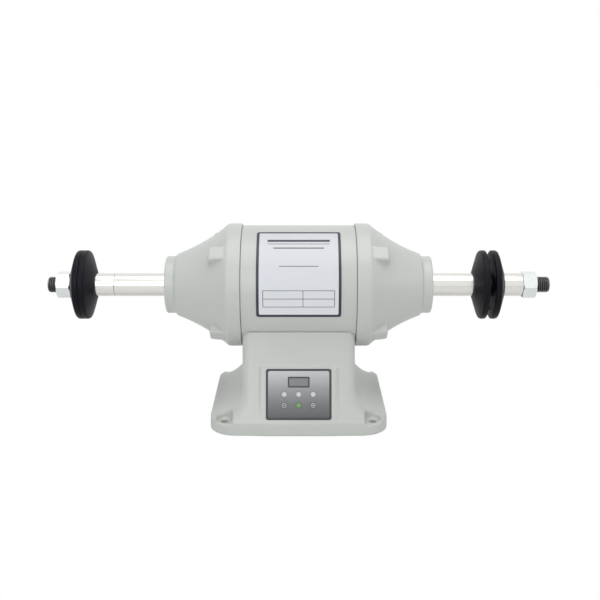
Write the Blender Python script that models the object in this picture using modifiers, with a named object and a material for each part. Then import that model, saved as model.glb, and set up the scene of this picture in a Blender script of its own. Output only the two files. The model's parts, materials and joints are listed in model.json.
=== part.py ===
# A double-ended bench buffer: a cylindrical motor on a cast pedestal, with a long
# shaft that carries a pair of clamping flanges, a spacer and a nut at each end.
# Metres, +Z up. The origin is on the bench below the middle of the motor, +X runs
# along the shaft and -Y is the front, where the control panel is.

import math

import bmesh
import bpy
from mathutils import Matrix, Vector

# Driving dimensions of the machine
AXIS_HEIGHT = 0.208
SHAFT_END = 0.4005
SHOULDER = 0.2936

# Clearances and cuts
FIT = 0.0003
OVERRUN = 0.004
MERGE = 0.00001
SHARP_ANGLE = math.radians(32)

# Motor barrel
BARREL_RADIUS = 0.095
BARREL_WALL = 0.007
BARREL_HALF = 0.0885
BARREL_STEPS = 36
PRESS_GAP = 0.0006

# End bells
RIM_STEP = 0.003
RIM_RADIUS = BARREL_RADIUS + RIM_STEP
RIM_WIDTH = 0.0215
RIM_CHAMFER = 0.0008
HUB_RADIUS = 0.0455
HUB_START = 0.195
HUB_END = 0.2105
HUB_CHAMFER = 0.0015
NECK_RADIUS = 0.049
CONE_HANDLE_X = 0.1505
CONE_HANDLE_SHARE = 0.316
CONE_HANDLE_RADIUS = NECK_RADIUS + (RIM_RADIUS - NECK_RADIUS) * CONE_HANDLE_SHARE
CONE_STEPS = 3
SPIGOT_LENGTH = 0.006
CAVITY_MOUTH_SET_IN = 0.019
CAVITY_MOUTH_RADIUS = BARREL_RADIUS - CAVITY_MOUTH_SET_IN
CAVITY_KNEE_X = 0.127
CAVITY_WAIST_SET_IN = 0.0038
CAVITY_END_RADIUS = 0.0465
BELL_STEPS = 28

# Bolt bosses on the end bells, and the tie bolts through them
BOSS_WIDTH = 0.024
BOSS_STEP = 0.0025
BOSS_RADIAL_HEIGHT = 0.0315
BOSS_OUTER_RADIUS = BARREL_RADIUS + BOSS_STEP
BOSS_INNER_RADIUS = BOSS_OUTER_RADIUS - BOSS_RADIAL_HEIGHT
BOSS_END = 0.1385
BOSS_DRAFT = 0.0045
BOSS_EDGE = 0.0022
BOSS_ANGLES = (45, 135, 225, 315)
BOLT_SET_IN = 0.013
BOLT_PITCH_RADIUS = BARREL_RADIUS - BOLT_SET_IN
BOLT_RADIUS = 0.003
BOLT_HOLE_RADIUS = 0.0034
BOLT_HEAD_RADIUS = 0.005
BOLT_HEAD_LENGTH = 0.006
BOLT_SOCKET_RADIUS = 0.0026
BOLT_SOCKET_DEPTH = 0.003
HEAD_POCKET_RADIUS = 0.0058
HEAD_POCKET_DEPTH = 0.0085
BOLT_STEPS = 10

# Bearings, washer and seals
BEARING_OUTER = 0.040
BEARING_BORE = 0.020
BEARING_WIDTH = 0.018
BEARING_START = 0.183
HOUSING_LIP = 0.0015
BALL_RADIUS = 0.0058
BALL_COUNT = 8
RACE_CLEARANCE = 0.001
RACE_HALF_ANGLE = math.radians(50)
RACE_LAND_SHARE = 0.62
CAGE_WALL = 0.0022
CAGE_WIDTH = 0.0075
RING_STEPS = 20
WASHER_THICKNESS = 0.0014
WASHER_WAVE = 0.0004
WASHER_WAVES = 3
WASHER_WIDTH = 0.006
SEAL_RADIUS = 0.026
SEAL_START = 0.2045
SEAL_LIP = 0.0011
SEAL_FACE_SET = 0.0007
WEB_BORE_RADIUS = 0.0192

# Stator and rotor
CORE_HALF = 0.045
STATOR_BORE_SHARE = 0.5474
STATOR_BORE = BARREL_RADIUS * STATOR_BORE_SHARE
AIR_GAP = 0.0008
BOLT_NOTCH_RADIUS = 0.0042
WINDING_LENGTH = 0.023
WINDING_INNER_SHARE = 0.5842
WINDING_OUTER_SHARE = 0.7842
WINDING_INNER = BARREL_RADIUS * WINDING_INNER_SHARE
WINDING_OUTER = BARREL_RADIUS * WINDING_OUTER_SHARE
WINDING_LEAN = 0.004
WINDING_ROUND = 0.006
ROTOR_RING_LENGTH = 0.012
ROTOR_RING_SET_IN = 0.005
ROTOR_RING_SHARE = 0.44
CORE_SEAT_RADIUS = 0.022
ROTOR_RING_OUTER = STATOR_BORE - ROTOR_RING_SET_IN
ROTOR_RING_INNER = CORE_SEAT_RADIUS + (ROTOR_RING_OUTER - CORE_SEAT_RADIUS) * ROTOR_RING_SHARE

# Shaft
SHAFT_RADIUS = 0.01825
ARBOR_RADIUS = 0.0127
END_CHAMFER = 0.0016
SHOULDER_CHAMFER = 0.0004
SHAFT_STEPS = 20

# Clamping flanges, spacers and nuts
FLANGE_RADIUS = 0.055
FLANGE_THICKNESS = 0.020
FLANGE_RIM = 0.0078
FLANGE_EDGE = 0.0012
FLANGE_HUB = 0.0232
COUNTERBORE_RADIUS = 0.0188
FLANGE_WEB = 0.004
RELIEF_RADIUS = 0.040
RELIEF_HUB = 0.019
RELIEF_DEPTH = 0.0015
FLANGE_STEPS = 20
SPACER_LENGTH = 0.0452
SPACER_BORE = 0.01305
WHEEL_GAP = 0.0095
NUT_FLATS = 0.0381
NUT_SIDES = 6
NUT_THICKNESS = 0.0218
NUT_CHAMFER = 0.0024

# Pedestal casting
BASE_HALF_X = 0.138
BASE_HALF_Y = 0.128
BASE_CORNER = 0.037
BASE_BOW = 0.004
BASE_CHAMFER = 0.0015
SKIRT_HEIGHT = 0.024
SKIRT_ROUND = 0.003
SKIRT_DRAFT = 0.001
COLUMN_SET_IN = 0.0013
COLUMN_HALF_X = BARREL_HALF - COLUMN_SET_IN
LIP_SET_IN = 0.0155
COLUMN_HALF_Y = BARREL_RADIUS - LIP_SET_IN
LIP_DROP = 0.0555
COLUMN_TOP = AXIS_HEIGHT - LIP_DROP
COLUMN_CORNER = 0.013
COLUMN_TOP_ROUND = 0.009
COLUMN_TOP_NARROWING = 0.0042
FACE_HOLLOW = 0.0045
FOOT_SET_IN = 0.0034
FOOT_HALF_Y = BASE_HALF_Y - FOOT_SET_IN
FLARE_STEPS = 4
FACE_STEPS = 2
CORNER_STEPS = 3
BOW_STEPS = 2
CASTING_WALL = 0.008
SADDLE_WEB = 0.012
PAD_HEIGHT = 0.018
FLARE_WIDTH = BASE_HALF_X - COLUMN_HALF_X
PAD_SHARE = 0.512
PAD_SIZE = FLARE_WIDTH * PAD_SHARE
HOLE_SIDE_SHARE = 0.5315
HOLE_FRONT_SET_IN = 0.018
HOLE_X = COLUMN_HALF_X + FLARE_WIDTH * HOLE_SIDE_SHARE
HOLE_Y = BASE_HALF_Y - HOLE_FRONT_SET_IN
HOLE_RADIUS = 0.0055
FOOT_POST_SHARE = 0.4035
POST_STEPS = 12
FOOT_POST_RADIUS = FLARE_WIDTH * FOOT_POST_SHARE
HOLE_STEPS = 14

# Motor mounting bolts and lead hole
MOUNT_BOLT_SET_IN = 0.0252
MOUNT_BOLT_X = COLUMN_HALF_X - MOUNT_BOLT_SET_IN
MOUNT_BOLT_Y = 0.022
MOUNT_BOLT_RADIUS = 0.004
MOUNT_HEAD_RADIUS = 0.0068
MOUNT_HEAD_LENGTH = 0.0055
LEAD_HOLE_SET_IN = 0.0172
LEAD_HOLE_X = COLUMN_HALF_X - LEAD_HOLE_SET_IN
LEAD_HOLE_RADIUS = 0.005

# Control panel, in the plane of the pedestal's front face
PANEL_CENTRE_HEIGHT = 0.0625
PANEL_PAD_WIDTH = 0.119
PANEL_PAD_TOP = 0.0415
PANEL_PAD_FOOT = 0.0435
PANEL_PAD_EDGE = 0.0025
BEZEL_WIDTH = 0.100
BEZEL_HEIGHT = 0.0775
BEZEL_DEPTH = 0.005
BEZEL_CORNER = 0.004
PLATE_WIDTH = 0.094
PLATE_HEIGHT = 0.0715
PLATE_THICKNESS = 0.002
PLATE_CORNER = 0.002
LEDGE = 0.003
WINDOW_WIDTH = 0.0318
WINDOW_HEIGHT = 0.0148
WINDOW_RISE = 0.0187
BUTTON_RADIUS = 0.00385
BUTTON_PITCH = 0.0221
BUTTON_ROW_DROP = 0.0167
BUTTON_PROUD = 0.0009
BUTTON_TRAVEL = 0.0006
BUTTON_FLANGE = 0.0012
BUTTON_FLANGE_THICKNESS = 0.0008
BUTTON_STEPS = 10
STANDOFF_RADIUS = 0.0025
STANDOFF_LENGTH = 0.006
STANDOFF_INSET = 0.006
BOARD_THICKNESS = 0.0016
SWITCH_SIZE = 0.006
DISPLAY_BLOCK_MARGIN = 0.002

# Drive module and base cover
COVER_THICKNESS = 0.002
COVER_LIP = 0.006
POST_LEDGE = 0.0015
COVER_REBATE = 0.004
COVER_SCREW_SIDE_STEP = 0.0118
COVER_SCREW_SET_IN = 0.056
COVER_SCREW_X = COLUMN_HALF_X + COVER_SCREW_SIDE_STEP
COVER_SCREW_Y = BASE_HALF_Y - COVER_SCREW_SET_IN
COVER_SCREW_RADIUS = 0.002
COVER_SCREW_HEAD = 0.004
COVER_SCREW_HEAD_HEIGHT = 0.0009
COVER_SCREW_LENGTH = 0.012
COVER_POST_WIDTH = 0.013
COVER_POST_LENGTH = 0.034
COVER_POST_HEIGHT = 0.030
MODULE_LENGTH = 0.120
MODULE_WIDTH = 0.080
MODULE_BASE = 0.006
MODULE_HEIGHT = 0.034
FIN_COUNT = 9
FIN_HEIGHT = 0.014
FIN_THICKNESS = 0.003

# Cord gland in the rear wall
GLAND_X = 0.055
GLAND_HEIGHT = 0.050
GLAND_RADIUS = 0.0105
GLAND_HEAD_RADIUS = 0.014
GLAND_BORE = 0.0045
GLAND_HEAD_LENGTH = 0.012
GLAND_BODY_LENGTH = 0.020
GLAND_EDGE = 0.002
GLAND_SPOT_DEPTH = 0.002
GLAND_SPOT_MARGIN = 0.001

# Nameplate, wrapped on the barrel; angles are above the front horizontal
LABEL_HALF_WIDTH = 0.0645
LABEL_THICKNESS = 0.0007
LABEL_LOW_ANGLE = math.radians(-17)
LABEL_HIGH_ANGLE = math.radians(72)
LABEL_STEPS = 12

PARTS = bpy.data.collections.new("bench_buffer")
CUTTERS = bpy.data.collections.new("cutters")


# Materials
MATERIALS = {}


def finish(name, colour, roughness, metallic=0.0):
    """Makes one Principled material and keeps it under its name."""
    made = bpy.data.materials.new(name)
    made.use_nodes = True
    shader = made.node_tree.nodes["Principled BSDF"]
    shader.inputs["Base Color"].default_value = (*colour, 1.0)
    shader.inputs["Roughness"].default_value = roughness
    shader.inputs["Metallic"].default_value = metallic
    made.diffuse_color = (*colour, 1.0)
    MATERIALS[name] = made


def make_materials():
    finish("casting_paint", (0.53, 0.56, 0.52), 0.42)
    finish("polished_steel", (0.78, 0.77, 0.74), 0.18, 1.0)
    finish("bright_zinc", (0.74, 0.76, 0.76), 0.28, 1.0)
    finish("black_oxide", (0.016, 0.015, 0.02), 0.45, 0.3)
    finish("bearing_steel", (0.62, 0.63, 0.64), 0.22, 1.0)
    finish("core_steel", (0.30, 0.31, 0.32), 0.5, 0.8)
    finish("copper_winding", (0.60, 0.25, 0.12), 0.4, 0.6)
    finish("seal_rubber", (0.02, 0.02, 0.02), 0.75)
    finish("label_silver", (0.72, 0.73, 0.76), 0.35, 0.2)
    finish("bezel_black", (0.03, 0.03, 0.035), 0.4)
    finish("panel_grey", (0.25, 0.26, 0.27), 0.4, 0.3)
    finish("window_grey", (0.20, 0.22, 0.22), 0.15)
    finish("button_white", (0.70, 0.71, 0.73), 0.4)
    finish("button_green", (0.25, 0.42, 0.16), 0.4)
    finish("button_dark", (0.20, 0.21, 0.22), 0.4)
    finish("board_green", (0.02, 0.12, 0.05), 0.5)
    finish("module_alloy", (0.55, 0.56, 0.57), 0.45, 0.8)
    finish("sheet_steel", (0.45, 0.46, 0.46), 0.4, 0.8)


# Helpers that every piece uses
def add_object(name, mesh, group, material=None):
    """Puts a mesh in the scene as a named object."""
    obj = bpy.data.objects.new(name, mesh)
    group.objects.link(obj)
    if material:
        mesh.materials.clear()
        mesh.materials.append(MATERIALS[material])
    if group is CUTTERS:
        obj.hide_render = True
        obj.display_type = "WIRE"
    return obj


def evaluated_mesh(obj):
    """The mesh that an object's modifiers give, as new data."""
    bpy.context.view_layer.update()
    graph = bpy.context.evaluated_depsgraph_get()
    return bpy.data.meshes.new_from_object(obj.evaluated_get(graph))


def settle(obj, material=None):
    """Applies the modifiers and shades the piece smooth up to the sharp angle."""
    mesh = evaluated_mesh(obj)
    obj.modifiers.clear()
    obj.data = mesh
    if material:
        mesh.materials.clear()
        mesh.materials.append(MATERIALS[material])
    mesh.shade_smooth()
    mesh.set_sharp_from_angle(angle=SHARP_ANGLE)
    return obj


def boolean(obj, cutter, operation="DIFFERENCE"):
    """Adds an exact Boolean to an object."""
    made = obj.modifiers.new(operation.lower() + "_" + cutter.name, "BOOLEAN")
    made.operation = operation
    made.solver = "EXACT"
    made.object = cutter


def signed_area(points):
    """Twice the signed area of a closed outline."""
    closed = points[1:] + points[:1]
    return sum(a[0] * b[1] - b[0] * a[1] for a, b in zip(points, closed))


def turned(name, outline, steps, group, material=None, along_x=True, centre=(0, 0, 0)):
    """Turns an outline of (place along the axis, radius) points about the axis.

    An outline that starts and ends on the axis makes a solid, any other a ring.
    """
    points = [(radius, place) for place, radius in outline]
    solid = points[0][0] == 0 and points[-1][0] == 0
    if solid and points[0][1] < points[-1][1]:
        points.reverse()
    if not solid and signed_area(points) > 0:
        points.reverse()
    bm = bmesh.new()
    verts = [bm.verts.new((radius, 0, place)) for radius, place in points]
    for first, second in zip(verts, verts[1:]):
        bm.edges.new((first, second))
    if not solid:
        bm.edges.new((verts[-1], verts[0]))
    mesh = bpy.data.meshes.new(name)
    bm.to_mesh(mesh)
    bm.free()
    obj = add_object(name, mesh, group, material)
    screw = obj.modifiers.new("turn", "SCREW")
    screw.axis = "Z"
    screw.angle = math.tau
    screw.steps = steps
    screw.render_steps = steps
    screw.use_merge_vertices = True
    screw.merge_threshold = MERGE
    if along_x:
        obj.rotation_euler = (0, math.pi / 2, 0)
    obj.location = centre
    return obj


def block(name, size, group, material=None, centre=(0, 0, 0), edge=0, segments=1):
    """A box with its size in the mesh, and rounded edges where asked."""
    bm = bmesh.new()
    bmesh.ops.create_cube(bm, size=1)
    bmesh.ops.scale(bm, vec=size, verts=bm.verts)
    mesh = bpy.data.meshes.new(name)
    bm.to_mesh(mesh)
    bm.free()
    obj = add_object(name, mesh, group, material)
    obj.location = centre
    if edge:
        bevel = obj.modifiers.new("edge", "BEVEL")
        bevel.width = edge
        bevel.segments = segments
    return obj


def rod(name, radius, start, end, group, material=None, steps=BOLT_STEPS):
    """A plain cylinder from one point to another."""
    start = Vector(start)
    end = Vector(end)
    bm = bmesh.new()
    bmesh.ops.create_cone(bm, cap_ends=True, segments=steps, radius1=radius, radius2=radius,
                          depth=(end - start).length)
    mesh = bpy.data.meshes.new(name)
    bm.to_mesh(mesh)
    bm.free()
    obj = add_object(name, mesh, group, material)
    obj.rotation_mode = "QUATERNION"
    obj.rotation_quaternion = (end - start).to_track_quat("Z", "Y")
    obj.location = (start + end) / 2
    return obj


def rounded_slab(name, width, height, low, high, corner, group, material=None):
    """A flat outline with round corners, extruded from low to high along its own Z."""
    curve = bpy.data.curves.new(name, "CURVE")
    curve.dimensions = "2D"
    curve.fill_mode = "BOTH"
    curve.extrude = (high - low) / 2
    spline = curve.splines.new("POLY")
    points = []
    for turn, (sx, sy) in enumerate(((1, 1), (-1, 1), (-1, -1), (1, -1))):
        for step in range(CORNER_STEPS):
            angle = math.pi / 2 * (turn + step / (CORNER_STEPS - 1))
            x = sx * (width / 2 - corner) + corner * math.cos(angle)
            y = sy * (height / 2 - corner) + corner * math.sin(angle)
            points.append((x, y, 0, 1))
    spline.points.add(len(points) - 1)
    for place, point in zip(spline.points, points):
        place.co = point
    spline.use_cyclic_u = True
    shape = bpy.data.objects.new(name + "_outline", curve)
    group.objects.link(shape)
    mesh = evaluated_mesh(shape)
    bpy.data.objects.remove(shape)
    bm = bmesh.new()
    bm.from_mesh(mesh)
    bmesh.ops.remove_doubles(bm, verts=bm.verts, dist=MERGE)
    bmesh.ops.translate(bm, verts=bm.verts, vec=(0, 0, (low + high) / 2))
    bm.to_mesh(mesh)
    bm.free()
    return add_object(name, mesh, group, material)


def on_body(obj, body):
    """Parents an object to an empty without moving it."""
    bpy.context.view_layer.update()
    placed = obj.matrix_world.copy()
    obj.parent = body
    obj.matrix_parent_inverse = body.matrix_world.inverted()
    obj.matrix_world = placed
    return obj


def add_pivot(name, place, parent=None):
    """An empty on a joint's axis, which the pieces of one moving body hang from."""
    empty = bpy.data.objects.new(name, None)
    empty.empty_display_size = ARBOR_RADIUS
    PARTS.objects.link(empty)
    empty.location = place
    bpy.context.view_layer.update()
    if parent:
        on_body(empty, parent)
    return empty


# Pedestal casting
def face_depth(height):
    """How far the sloping front and rear faces stand from the middle at a height."""
    rise = (COLUMN_TOP - height) / (COLUMN_TOP - SKIRT_HEIGHT)
    rise = max(0.0, min(1.0, rise))
    straight = COLUMN_HALF_Y + (FOOT_HALF_Y - COLUMN_HALF_Y) * rise
    return straight - FACE_HOLLOW * 4 * rise * (1 - rise)


def section(height, half_x, half_y, corner, bow):
    """One closed ring of points of the casting, at one height."""
    ring = []
    corners = ((1, 1), (-1, 1), (-1, -1), (1, -1))
    for turn, (sx, sy) in enumerate(corners):
        for step in range(CORNER_STEPS + 1):
            angle = math.pi / 2 * (turn + step / CORNER_STEPS)
            x = sx * (half_x - corner) + corner * math.cos(angle)
            y = sy * (half_y - corner) + corner * math.sin(angle)
            ring.append((x, y, height))
        if sx == sy:
            flat = half_x - corner
            for step in range(1, BOW_STEPS):
                share = step / BOW_STEPS
                ring.append((sx * flat * (1 - 2 * share), sy * half_y, height))
    return [(x, y + math.copysign(bow * (1 - (x / half_x) ** 2), y), z) for x, y, z in ring]


def loft(name, rings, group, material=None):
    """Joins rings of equal point counts, lowest first, and closes both ends."""
    bm = bmesh.new()
    loops = [[bm.verts.new(point) for point in ring] for ring in rings]
    for low, high in zip(loops, loops[1:]):
        for index in range(len(low)):
            after = (index + 1) % len(low)
            bm.faces.new((low[index], low[after], high[after], high[index]))
    bm.faces.new(list(reversed(loops[0])))
    bm.faces.new(loops[-1])
    mesh = bpy.data.meshes.new(name)
    bm.to_mesh(mesh)
    bm.free()
    return add_object(name, mesh, group, material)


def flare_rings(wall):
    """The rings of the concave flare and the column, set in by a wall thickness."""
    flare = BASE_HALF_X - SKIRT_DRAFT - COLUMN_HALF_X
    reach = BASE_HALF_X - SKIRT_DRAFT
    top = SKIRT_HEIGHT + flare
    first = 0 if wall == 0 else math.asin(wall / (flare + wall))
    rings = []
    for step in range(FLARE_STEPS + 1):
        angle = first + (math.pi / 2 - first) * step / FLARE_STEPS
        height = top - (flare + wall) * math.cos(angle)
        half_x = reach - (flare + wall) * math.sin(angle)
        share = angle / (math.pi / 2)
        corner = BASE_CORNER + (COLUMN_CORNER - BASE_CORNER) * share - wall / 2
        bow = BASE_BOW * (1 - share) ** 2
        rings.append((height, half_x, face_depth(height) - bow - wall, corner, bow))
    return rings


def pedestal_rings():
    """The outside of the casting, from the bench up to the lips of the saddle."""
    half_y = BASE_HALF_Y - BASE_BOW
    rings = [
        (0, BASE_HALF_X - BASE_CHAMFER, half_y - BASE_CHAMFER, BASE_CORNER, BASE_BOW),
        (BASE_CHAMFER, BASE_HALF_X, half_y, BASE_CORNER, BASE_BOW),
        (SKIRT_HEIGHT - SKIRT_ROUND, BASE_HALF_X - SKIRT_DRAFT / 2, half_y - SKIRT_DRAFT,
         BASE_CORNER, BASE_BOW),
    ]
    rings += flare_rings(0)
    flare_top = rings[-1][0]
    straight_top = COLUMN_TOP - COLUMN_TOP_ROUND
    for step in range(1, FACE_STEPS + 1):
        height = flare_top + (straight_top - flare_top) * step / FACE_STEPS
        rings.append((height, COLUMN_HALF_X, face_depth(height), COLUMN_CORNER, 0))
    for step in range(1, FACE_STEPS + 1):
        angle = math.pi / 2 * step / FACE_STEPS
        height = straight_top + COLUMN_TOP_ROUND * math.sin(angle)
        half_x = COLUMN_HALF_X - COLUMN_TOP_NARROWING * (1 - math.cos(angle))
        rings.append((height, half_x, face_depth(height), COLUMN_CORNER, 0))
    return [section(*ring) for ring in rings]


def cavity_rings():
    """The hollow of the casting, open at the bottom and closed below the saddle."""
    half_y = BASE_HALF_Y - BASE_BOW - CASTING_WALL
    half_x = BASE_HALF_X - CASTING_WALL
    flare = flare_rings(CASTING_WALL)
    corner = BASE_CORNER - CASTING_WALL / 2
    rings = [(-OVERRUN, half_x, half_y, corner, 0)]
    rings += [ring for ring in flare if ring[1] < half_x and ring[0] > SKIRT_HEIGHT - CASTING_WALL]
    top = AXIS_HEIGHT - BARREL_RADIUS - SADDLE_WEB
    wall_x = COLUMN_HALF_X - CASTING_WALL
    rings.append((top, wall_x, face_depth(top) - CASTING_WALL, COLUMN_CORNER / 2, 0))
    return [section(*ring) for ring in rings]


def corners_of(x, y):
    return [(sx * x, sy * y) for sx in (-1, 1) for sy in (-1, 1)]


def panel_frame():
    """The matrix of the panel: its Z points out of the sloping front face."""
    slope = math.atan2(FOOT_HALF_Y - COLUMN_HALF_Y, COLUMN_TOP - SKIRT_HEIGHT)
    rise = (COLUMN_TOP - PANEL_CENTRE_HEIGHT) / (COLUMN_TOP - SKIRT_HEIGHT)
    out = COLUMN_HALF_Y + (FOOT_HALF_Y - COLUMN_HALF_Y) * rise
    turn = Matrix.Rotation(math.pi / 2 - slope, 4, "X")
    return Matrix.Translation((0, -out, PANEL_CENTRE_HEIGHT)) @ turn


def in_panel(obj, place=(0, 0, 0)):
    """Places an object by panel coordinates: X right, Y up the face, Z out of it."""
    obj.matrix_world = panel_frame() @ Matrix.Translation(place)
    return obj


def build_pedestal():
    pedestal = loft("pedestal", pedestal_rings(), PARTS, "casting_paint")
    pad_height = PANEL_PAD_TOP + PANEL_PAD_FOOT
    pad_depth = CASTING_WALL
    pad = block("panel_pad", (PANEL_PAD_WIDTH, pad_height, pad_depth), CUTTERS,
                edge=PANEL_PAD_EDGE)
    in_panel(pad, (0, (PANEL_PAD_TOP - PANEL_PAD_FOOT) / 2, -pad_depth / 2))
    boolean(pedestal, pad, "UNION")

    cavity = loft("pedestal_cavity", cavity_rings(), CUTTERS)
    for index, (x, y) in enumerate(corners_of(HOLE_X, HOLE_Y)):
        post = rod(f"foot_post_{index}", FOOT_POST_RADIUS, (x, y, -OVERRUN * 2),
                   (x, y, AXIS_HEIGHT / 2), CUTTERS, steps=POST_STEPS)
        boolean(cavity, post)
    for index, (x, y) in enumerate(corners_of(COVER_SCREW_X, COVER_SCREW_Y)):
        post = block(f"cover_post_{index}", (COVER_POST_LENGTH, COVER_POST_WIDTH, COVER_POST_HEIGHT),
                     CUTTERS)
        middle = x + math.copysign((COVER_POST_LENGTH - COVER_POST_WIDTH) / 2, x)
        post.location = (middle, y, COVER_REBATE + COVER_POST_HEIGHT / 2)
        boolean(cavity, post)
    boolean(pedestal, cavity)
    boolean(pedestal, underside_plate("cover_rebate", 0, -OVERRUN, COVER_REBATE, CUTTERS))

    saddle = turned("saddle_cut", [(-BASE_HALF_X, 0), (-BASE_HALF_X, BARREL_RADIUS + FIT),
                                   (BASE_HALF_X, BARREL_RADIUS + FIT), (BASE_HALF_X, 0)],
                    BARREL_STEPS, CUTTERS, centre=(0, 0, AXIS_HEIGHT))
    boolean(pedestal, saddle)

    for index, (x, y) in enumerate(corners_of(HOLE_X, HOLE_Y)):
        hole = rod(f"foot_hole_{index}", HOLE_RADIUS, (x, y, -OVERRUN),
                   (x, y, SKIRT_HEIGHT * 2), CUTTERS, steps=HOLE_STEPS)
        reach = BASE_HALF_Y + OVERRUN - HOLE_Y + PAD_SIZE / 2
        pocket = block(f"foot_pocket_{index}", (PAD_SIZE, reach, HOLE_Y), CUTTERS)
        pocket.location = (x, math.copysign(HOLE_Y - PAD_SIZE / 2 + reach / 2, y),
                           PAD_HEIGHT + HOLE_Y / 2)
        boolean(pedestal, pocket)
        boolean(pedestal, hole)

    for index, (x, y) in enumerate(corners_of(COVER_SCREW_X, COVER_SCREW_Y)):
        hole = rod(f"cover_hole_{index}", COVER_SCREW_RADIUS + FIT, (x, y, 0),
                   (x, y, COVER_SCREW_LENGTH + OVERRUN), CUTTERS)
        boolean(pedestal, hole)

    for index, (x, y) in enumerate(corners_of(MOUNT_BOLT_X, MOUNT_BOLT_Y)):
        hole = rod(f"mount_hole_{index}", MOUNT_BOLT_RADIUS + FIT, (x, y, COVER_POST_HEIGHT),
                   (x, y, AXIS_HEIGHT), CUTTERS)
        boolean(pedestal, hole)
    leads = rod("pedestal_lead_hole", LEAD_HOLE_RADIUS,
                (LEAD_HOLE_X, 0, COVER_POST_HEIGHT), (LEAD_HOLE_X, 0, AXIS_HEIGHT), CUTTERS)
    boolean(pedestal, leads)

    recess = rounded_slab("panel_recess", BEZEL_WIDTH + FIT * 2, BEZEL_HEIGHT + FIT * 2,
                          -BEZEL_DEPTH - FIT, OVERRUN, BEZEL_CORNER, CUTTERS)
    in_panel(recess)
    boolean(pedestal, recess)
    inner = LEDGE * 2 + PLATE_CORNER
    window = rounded_slab("panel_opening", BEZEL_WIDTH - inner, BEZEL_HEIGHT - inner,
                          -CASTING_WALL * 3, 0, BEZEL_CORNER, CUTTERS)
    in_panel(window)
    boolean(pedestal, window)

    rear = face_depth(GLAND_HEIGHT)
    gland = rod("gland_hole", GLAND_RADIUS + FIT, (GLAND_X, rear - CASTING_WALL * 3, GLAND_HEIGHT),
                (GLAND_X, rear + OVERRUN * 2, GLAND_HEIGHT), CUTTERS, steps=HOLE_STEPS)
    boolean(pedestal, gland)
    spot = rod("gland_spot_face", GLAND_HEAD_RADIUS + GLAND_SPOT_MARGIN,
               (GLAND_X, rear - GLAND_SPOT_DEPTH, GLAND_HEIGHT),
               (GLAND_X, rear + CASTING_WALL * 2, GLAND_HEIGHT), CUTTERS, steps=HOLE_STEPS)
    boolean(pedestal, spot)
    return settle(pedestal, "casting_paint")


def underside_plate(name, gap, low, high, group, material=None):
    """A plate that fills the open underside, cut back round the foot posts."""
    width = (BASE_HALF_X - COVER_LIP - gap) * 2
    depth = (BASE_HALF_Y - BASE_BOW - COVER_LIP - gap) * 2
    plate = rounded_slab(name, width, depth, low, high, BASE_CORNER - COVER_LIP, group, material)
    for index, (x, y) in enumerate(corners_of(HOLE_X, HOLE_Y)):
        relief = rod(f"{name}_relief_{index}", FOOT_POST_RADIUS - POST_LEDGE + gap, (x, y, low - OVERRUN),
                     (x, y, high + OVERRUN), CUTTERS, steps=POST_STEPS)
        boolean(plate, relief)
    return plate


def build_base_cover():
    """The sheet steel plate that closes the underside, and its four screws."""
    low = COVER_REBATE - FIT - COVER_THICKNESS
    cover = underside_plate("base_cover", FIT, low, low + COVER_THICKNESS, PARTS, "sheet_steel")
    for index, (x, y) in enumerate(corners_of(COVER_SCREW_X, COVER_SCREW_Y)):
        hole = rod(f"cover_clearance_{index}", COVER_SCREW_RADIUS + FIT, (x, y, -OVERRUN),
                   (x, y, OVERRUN * 2), CUTTERS)
        boolean(cover, hole)
    settle(cover, "sheet_steel")
    for index, (x, y) in enumerate(corners_of(COVER_SCREW_X, COVER_SCREW_Y)):
        top = low - FIT
        outline = [(top - COVER_SCREW_HEAD_HEIGHT, 0), (top - COVER_SCREW_HEAD_HEIGHT, COVER_SCREW_HEAD),
                   (top, COVER_SCREW_HEAD), (top, COVER_SCREW_RADIUS),
                   (COVER_SCREW_LENGTH, COVER_SCREW_RADIUS), (COVER_SCREW_LENGTH, 0)]
        screw = turned(f"base_cover_screw_{index + 1}", outline, BOLT_STEPS, PARTS, "bright_zinc",
                       along_x=False, centre=(x, y, 0))
        settle(screw)


def build_drive_module():
    """The speed control's power block: a potted base with cooling fins."""
    low = COVER_REBATE
    base_top = low + MODULE_BASE
    module = block("drive_module", (MODULE_LENGTH, MODULE_WIDTH, MODULE_HEIGHT - FIN_HEIGHT),
                   PARTS, "module_alloy")
    module.location = (0, 0, base_top - MODULE_BASE + (MODULE_HEIGHT - FIN_HEIGHT) / 2)
    pitch = (MODULE_WIDTH - FIN_THICKNESS) / (FIN_COUNT - 1)
    for index in range(FIN_COUNT):
        fin = block(f"fin_{index}", (MODULE_LENGTH, FIN_THICKNESS, FIN_HEIGHT + MODULE_BASE),
                    CUTTERS)
        fin.location = (0, -MODULE_WIDTH / 2 + FIN_THICKNESS / 2 + pitch * index,
                        low + MODULE_HEIGHT - (FIN_HEIGHT + MODULE_BASE) / 2)
        boolean(module, fin, "UNION")
    return settle(module, "module_alloy")


def build_cord_gland():
    """The bushing in the rear wall that the supply cord passes through."""
    rear = face_depth(GLAND_HEIGHT)
    seat = rear - GLAND_SPOT_DEPTH + FIT
    outline = [(seat + GLAND_HEAD_LENGTH, GLAND_BORE), (seat + GLAND_HEAD_LENGTH, GLAND_RADIUS),
               (seat + GLAND_EDGE * 2, GLAND_HEAD_RADIUS), (seat, GLAND_HEAD_RADIUS),
               (seat, GLAND_RADIUS), (seat - GLAND_BODY_LENGTH, GLAND_RADIUS),
               (seat - GLAND_BODY_LENGTH, GLAND_BORE)]
    gland = turned("cord_gland", outline, HOLE_STEPS, PARTS, "seal_rubber", along_x=False,
                   centre=(GLAND_X, 0, GLAND_HEIGHT))
    gland.rotation_euler = (-math.pi / 2, 0, 0)
    return settle(gland)


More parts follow.
